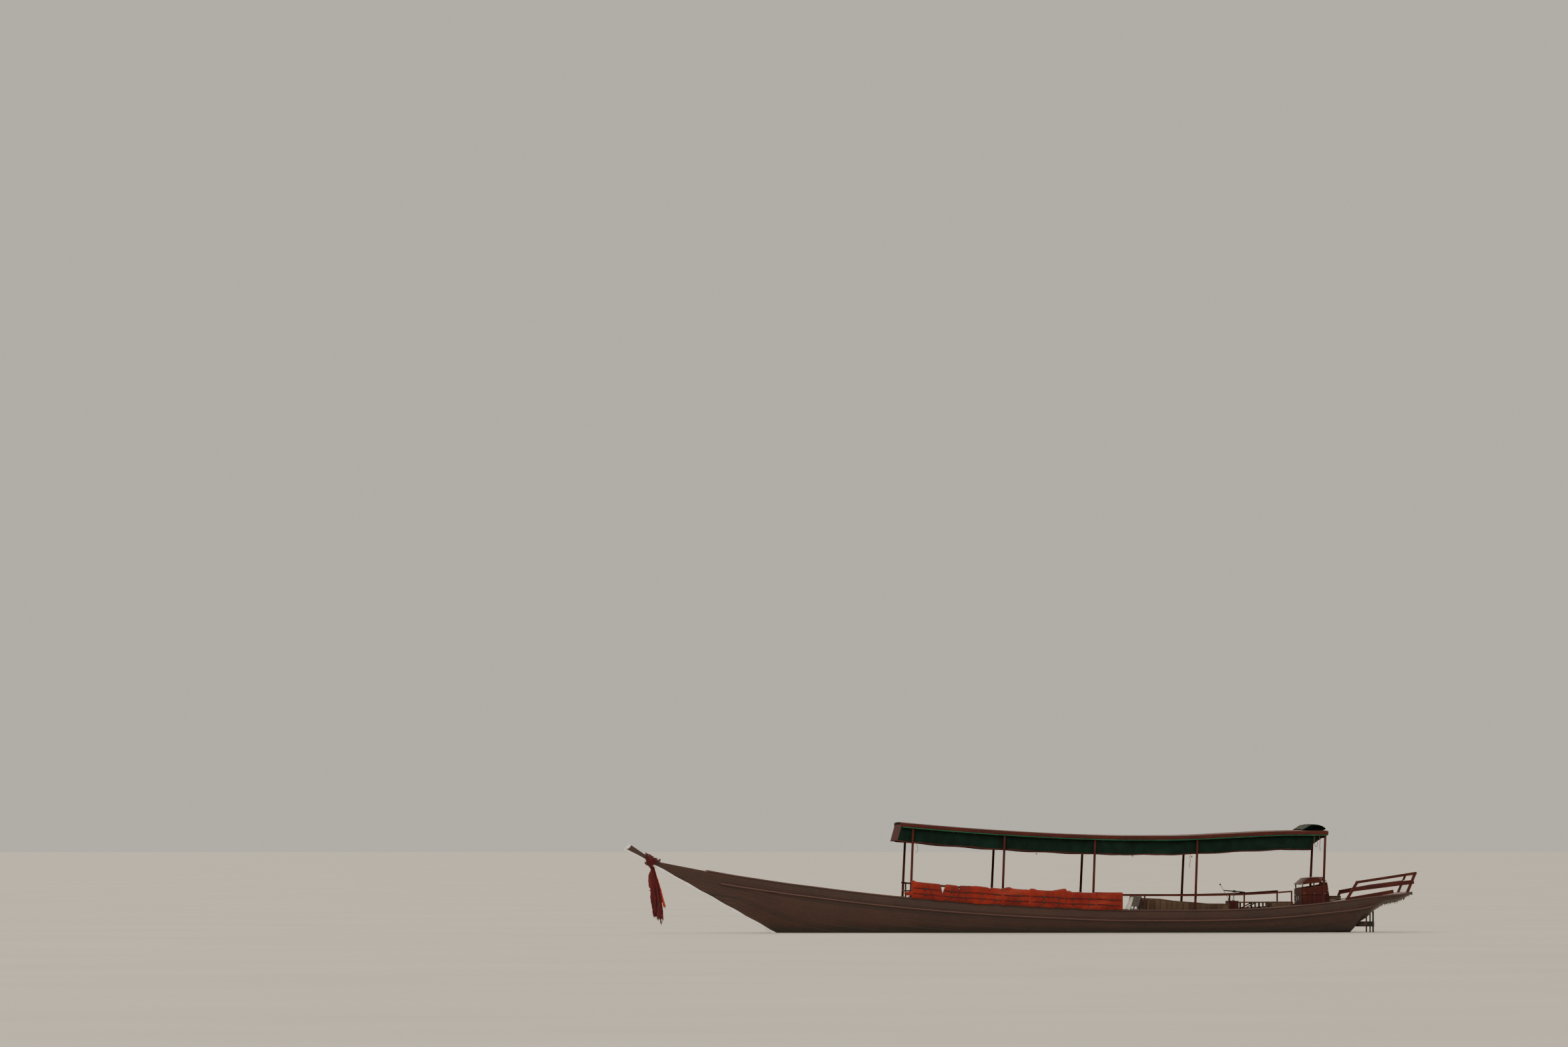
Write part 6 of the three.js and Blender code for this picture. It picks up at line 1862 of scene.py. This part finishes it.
def rudder():
    build, bands = Build(), Build()
    x = RUDDER["x"]
    build.plate(RUDDER["outline"], -RUDDER["half"], RUDDER["half"])
    build.lathe((x, 0, 0), (0, 0, 1), ((RUDDER["stock"], -0.391), (RUDDER["stock"], RUDDER["top"] - 0.004),
                                       (RUDDER["stock"] - 0.004, RUDDER["top"])), sides=24)
    pintle = ((RUDDER["pintle"], RUDDER["heel"]), (RUDDER["pintle"], -0.36))
    build.lathe((x, 0, 0), (0, 0, 1), pintle, sides=20)
    for z in (-0.290, -0.135):
        for _, sign in SIDES:
            y0, y1 = sorted((sign * RUDDER["half"], sign * (RUDDER["half"] + 0.004)))
            bands.box((x - 0.030, y0, z - 0.014), (6.815, y1, z + 0.014))
            for bx in (6.70, 6.75, 6.80):
                bands.bolt((bx, sign * (RUDDER["half"] + 0.004), z), (0, sign, 0), 0.005)
    stands_for("rudder",
               (build.piece("rudder_plate", LOOKS["iron"], body="rudder_blade", bevel=0.003), "iron"),
               (bands.piece("rudder_bands", LOOKS["iron"], body="rudder_blade", angle=45), "iron"))


propeller()
rudder()


# Small fastenings
def plugs():
    """Wooden plugs over the planks' fastenings, in rows where the frames lie."""
    build = Build()
    head = ((0.0062, -0.001), (0.0062, 0.0007), (0.004, 0.0011))
    for x in steps(-6.100, 7.150, 0.331):
        points = section(x)
        girth = along(points, (0,))[1]
        for j in range(STRAKES):
            low, high = strake_share(girth, j + 1), strake_share(girth, j)
            if (high - low) * girth < 0.035:
                continue
            edge = 0.018 / girth
            for dx, share in ((-0.012, low + edge), (0.012, high - edge)):
                (y, z), n = along(section(x + dx), (share,))[0][0]
                if z < -0.12:
                    continue
                for _, sign in SIDES:
                    axis = (0, sign * n[0], n[1])
                    build.lathe((x + dx, sign * y, z), axis, head, sides=8)
    build.piece("plank_plugs", LOOKS["trim"], angle=50)


def lashings():
    """Turns of line that hold the cloth to the purlins, and three loose ties below the hem."""
    build = Build()
    for _, sign in SIDES:
        for x in steps(ROOF["start"] + 0.16, ROOF["end"] - 0.28, 0.40):
            outer = roof_half(x) - PURLIN["inset"] + 0.004
            near, top, low = outer - PURLIN["wide"] - 0.012, roof_line(x) - 0.034, roof_line(x) - 0.108
            for dx in (-0.004, 0.004):
                loop = [(x + dx, sign * y, z) for y, z in rounded(near, outer, low, top, 0.009)]
                build.tube(loop, 0.0024, sides=6, closed=True)
    for x, z, tall in ((0.209, 1.462, 0.020), (2.000, 1.424, 0.030), (3.110, 1.412, 0.026)):
        y = -(roof_half(x) - PURLIN["inset"] - PURLIN["wide"] - 0.014)
        knot = [(x + 0.010 * math.cos(a), y + 0.008 * math.sin(2 * a), z + 0.009 * math.sin(a))
                for a in (2 * math.pi * k / 16 for k in range(16))]
        build.tube(knot, 0.005, sides=8, closed=True)
        for dx in (-0.010, 0.012):
            end = [(x, y, z), (x + 0.6 * dx, y - 0.003, z - 0.5 * tall), (x + dx, y, z - tall)]
            build.tube(end, 0.003, sides=6)
    build.piece("valance_lashings", LOOKS["rope"], angle=80)


plugs()
lashings()


# Solids that keep their own shape and get materials and softened edges
CARRIED = {
    "keel_and_stem": ("keel", 0.004), "frames_fore": ("frame", 0.002), "frames_middle": ("frame", 0.002),
    "frames_aft": ("frame", 0.002), "roof_ridge": ("frame", 0.002),
    "roof_purlin_port": ("paint", 0.002), "roof_purlin_starboard": ("paint", 0.002),
    "side_rail_port": ("paint", 0.005), "side_rail_starboard": ("paint", 0.005),
    "stern_rail_port": ("paint", 0.004), "stern_rail_starboard": ("paint", 0.004),
    # the taffrail's pale cream is partly a painted highlight for sunlit glare
    "roof_front_fascia": ("fascia", 0.003), "engine_block": ("iron", 0.008), "taffrail": ("cream", 0.003),
    "transom": ("trim", 0.003), "stern_platform": ("iron", 0.003), "propeller_shaft": ("steel", 0.001),
}
for node_name, (look_name, edge) in CARRIED.items():
    solid = frame["nodes"][node_name]
    solid.data.materials.clear()
    solid.data.materials.append(LOOKS[look_name])
    round_edges(solid, edge)


# Stage
def stage():
    floor_look = Look("floor", Specular_IOR_Level=0.2)
    tone = floor_look.ramp(floor_look.noise(0.15, detail=3.0), (0.3, (0.50, 0.462, 0.398)),
                           (0.7, (0.55, 0.508, 0.438)))
    floor_look.done(tone, 0.75)
    size = 1500.0
    mesh = bpy.data.meshes.new("floor")
    corners = [(-size, -size, 0), (size, -size, 0), (size, size, 0), (-size, size, 0)]
    mesh.from_pydata(corners, [], [(0, 1, 2, 3)])
    floor = bpy.data.objects.new("floor", mesh)
    mesh.materials.append(floor_look.material)
    scene.collection.objects.link(floor)
    world = bpy.data.worlds.new("air")
    world.use_nodes = True
    background = world.node_tree.nodes["Background"]
    background.inputs["Color"].default_value = (0.74, 0.69, 0.60, 1)
    background.inputs["Strength"].default_value = 0.80
    scene.world = world
    lights = (
        ("key", (-0.45, -0.80, 0.75), 1.5, 40, (1.0, 0.95, 0.88)),
        ("fill", (0.70, -0.60, 0.50), 0.5, 60, (0.95, 0.97, 1.0)),
        ("rim", (-0.15, 0.90, 0.60), 1.3, 30, (1.0, 0.90, 0.74)),
    )
    for name, towards, strength, wide, colour in lights:
        data = bpy.data.lights.new(name, "SUN")
        data.energy = strength
        data.angle = math.radians(wide)
        data.color = colour
        lamp = bpy.data.objects.new(name, data)
        scene.collection.objects.link(lamp)
        lamp.rotation_mode = "QUATERNION"
        lamp.rotation_quaternion = Vector(towards).to_track_quat("Z", "Y")


stage()

bpy.context.view_layer.update()
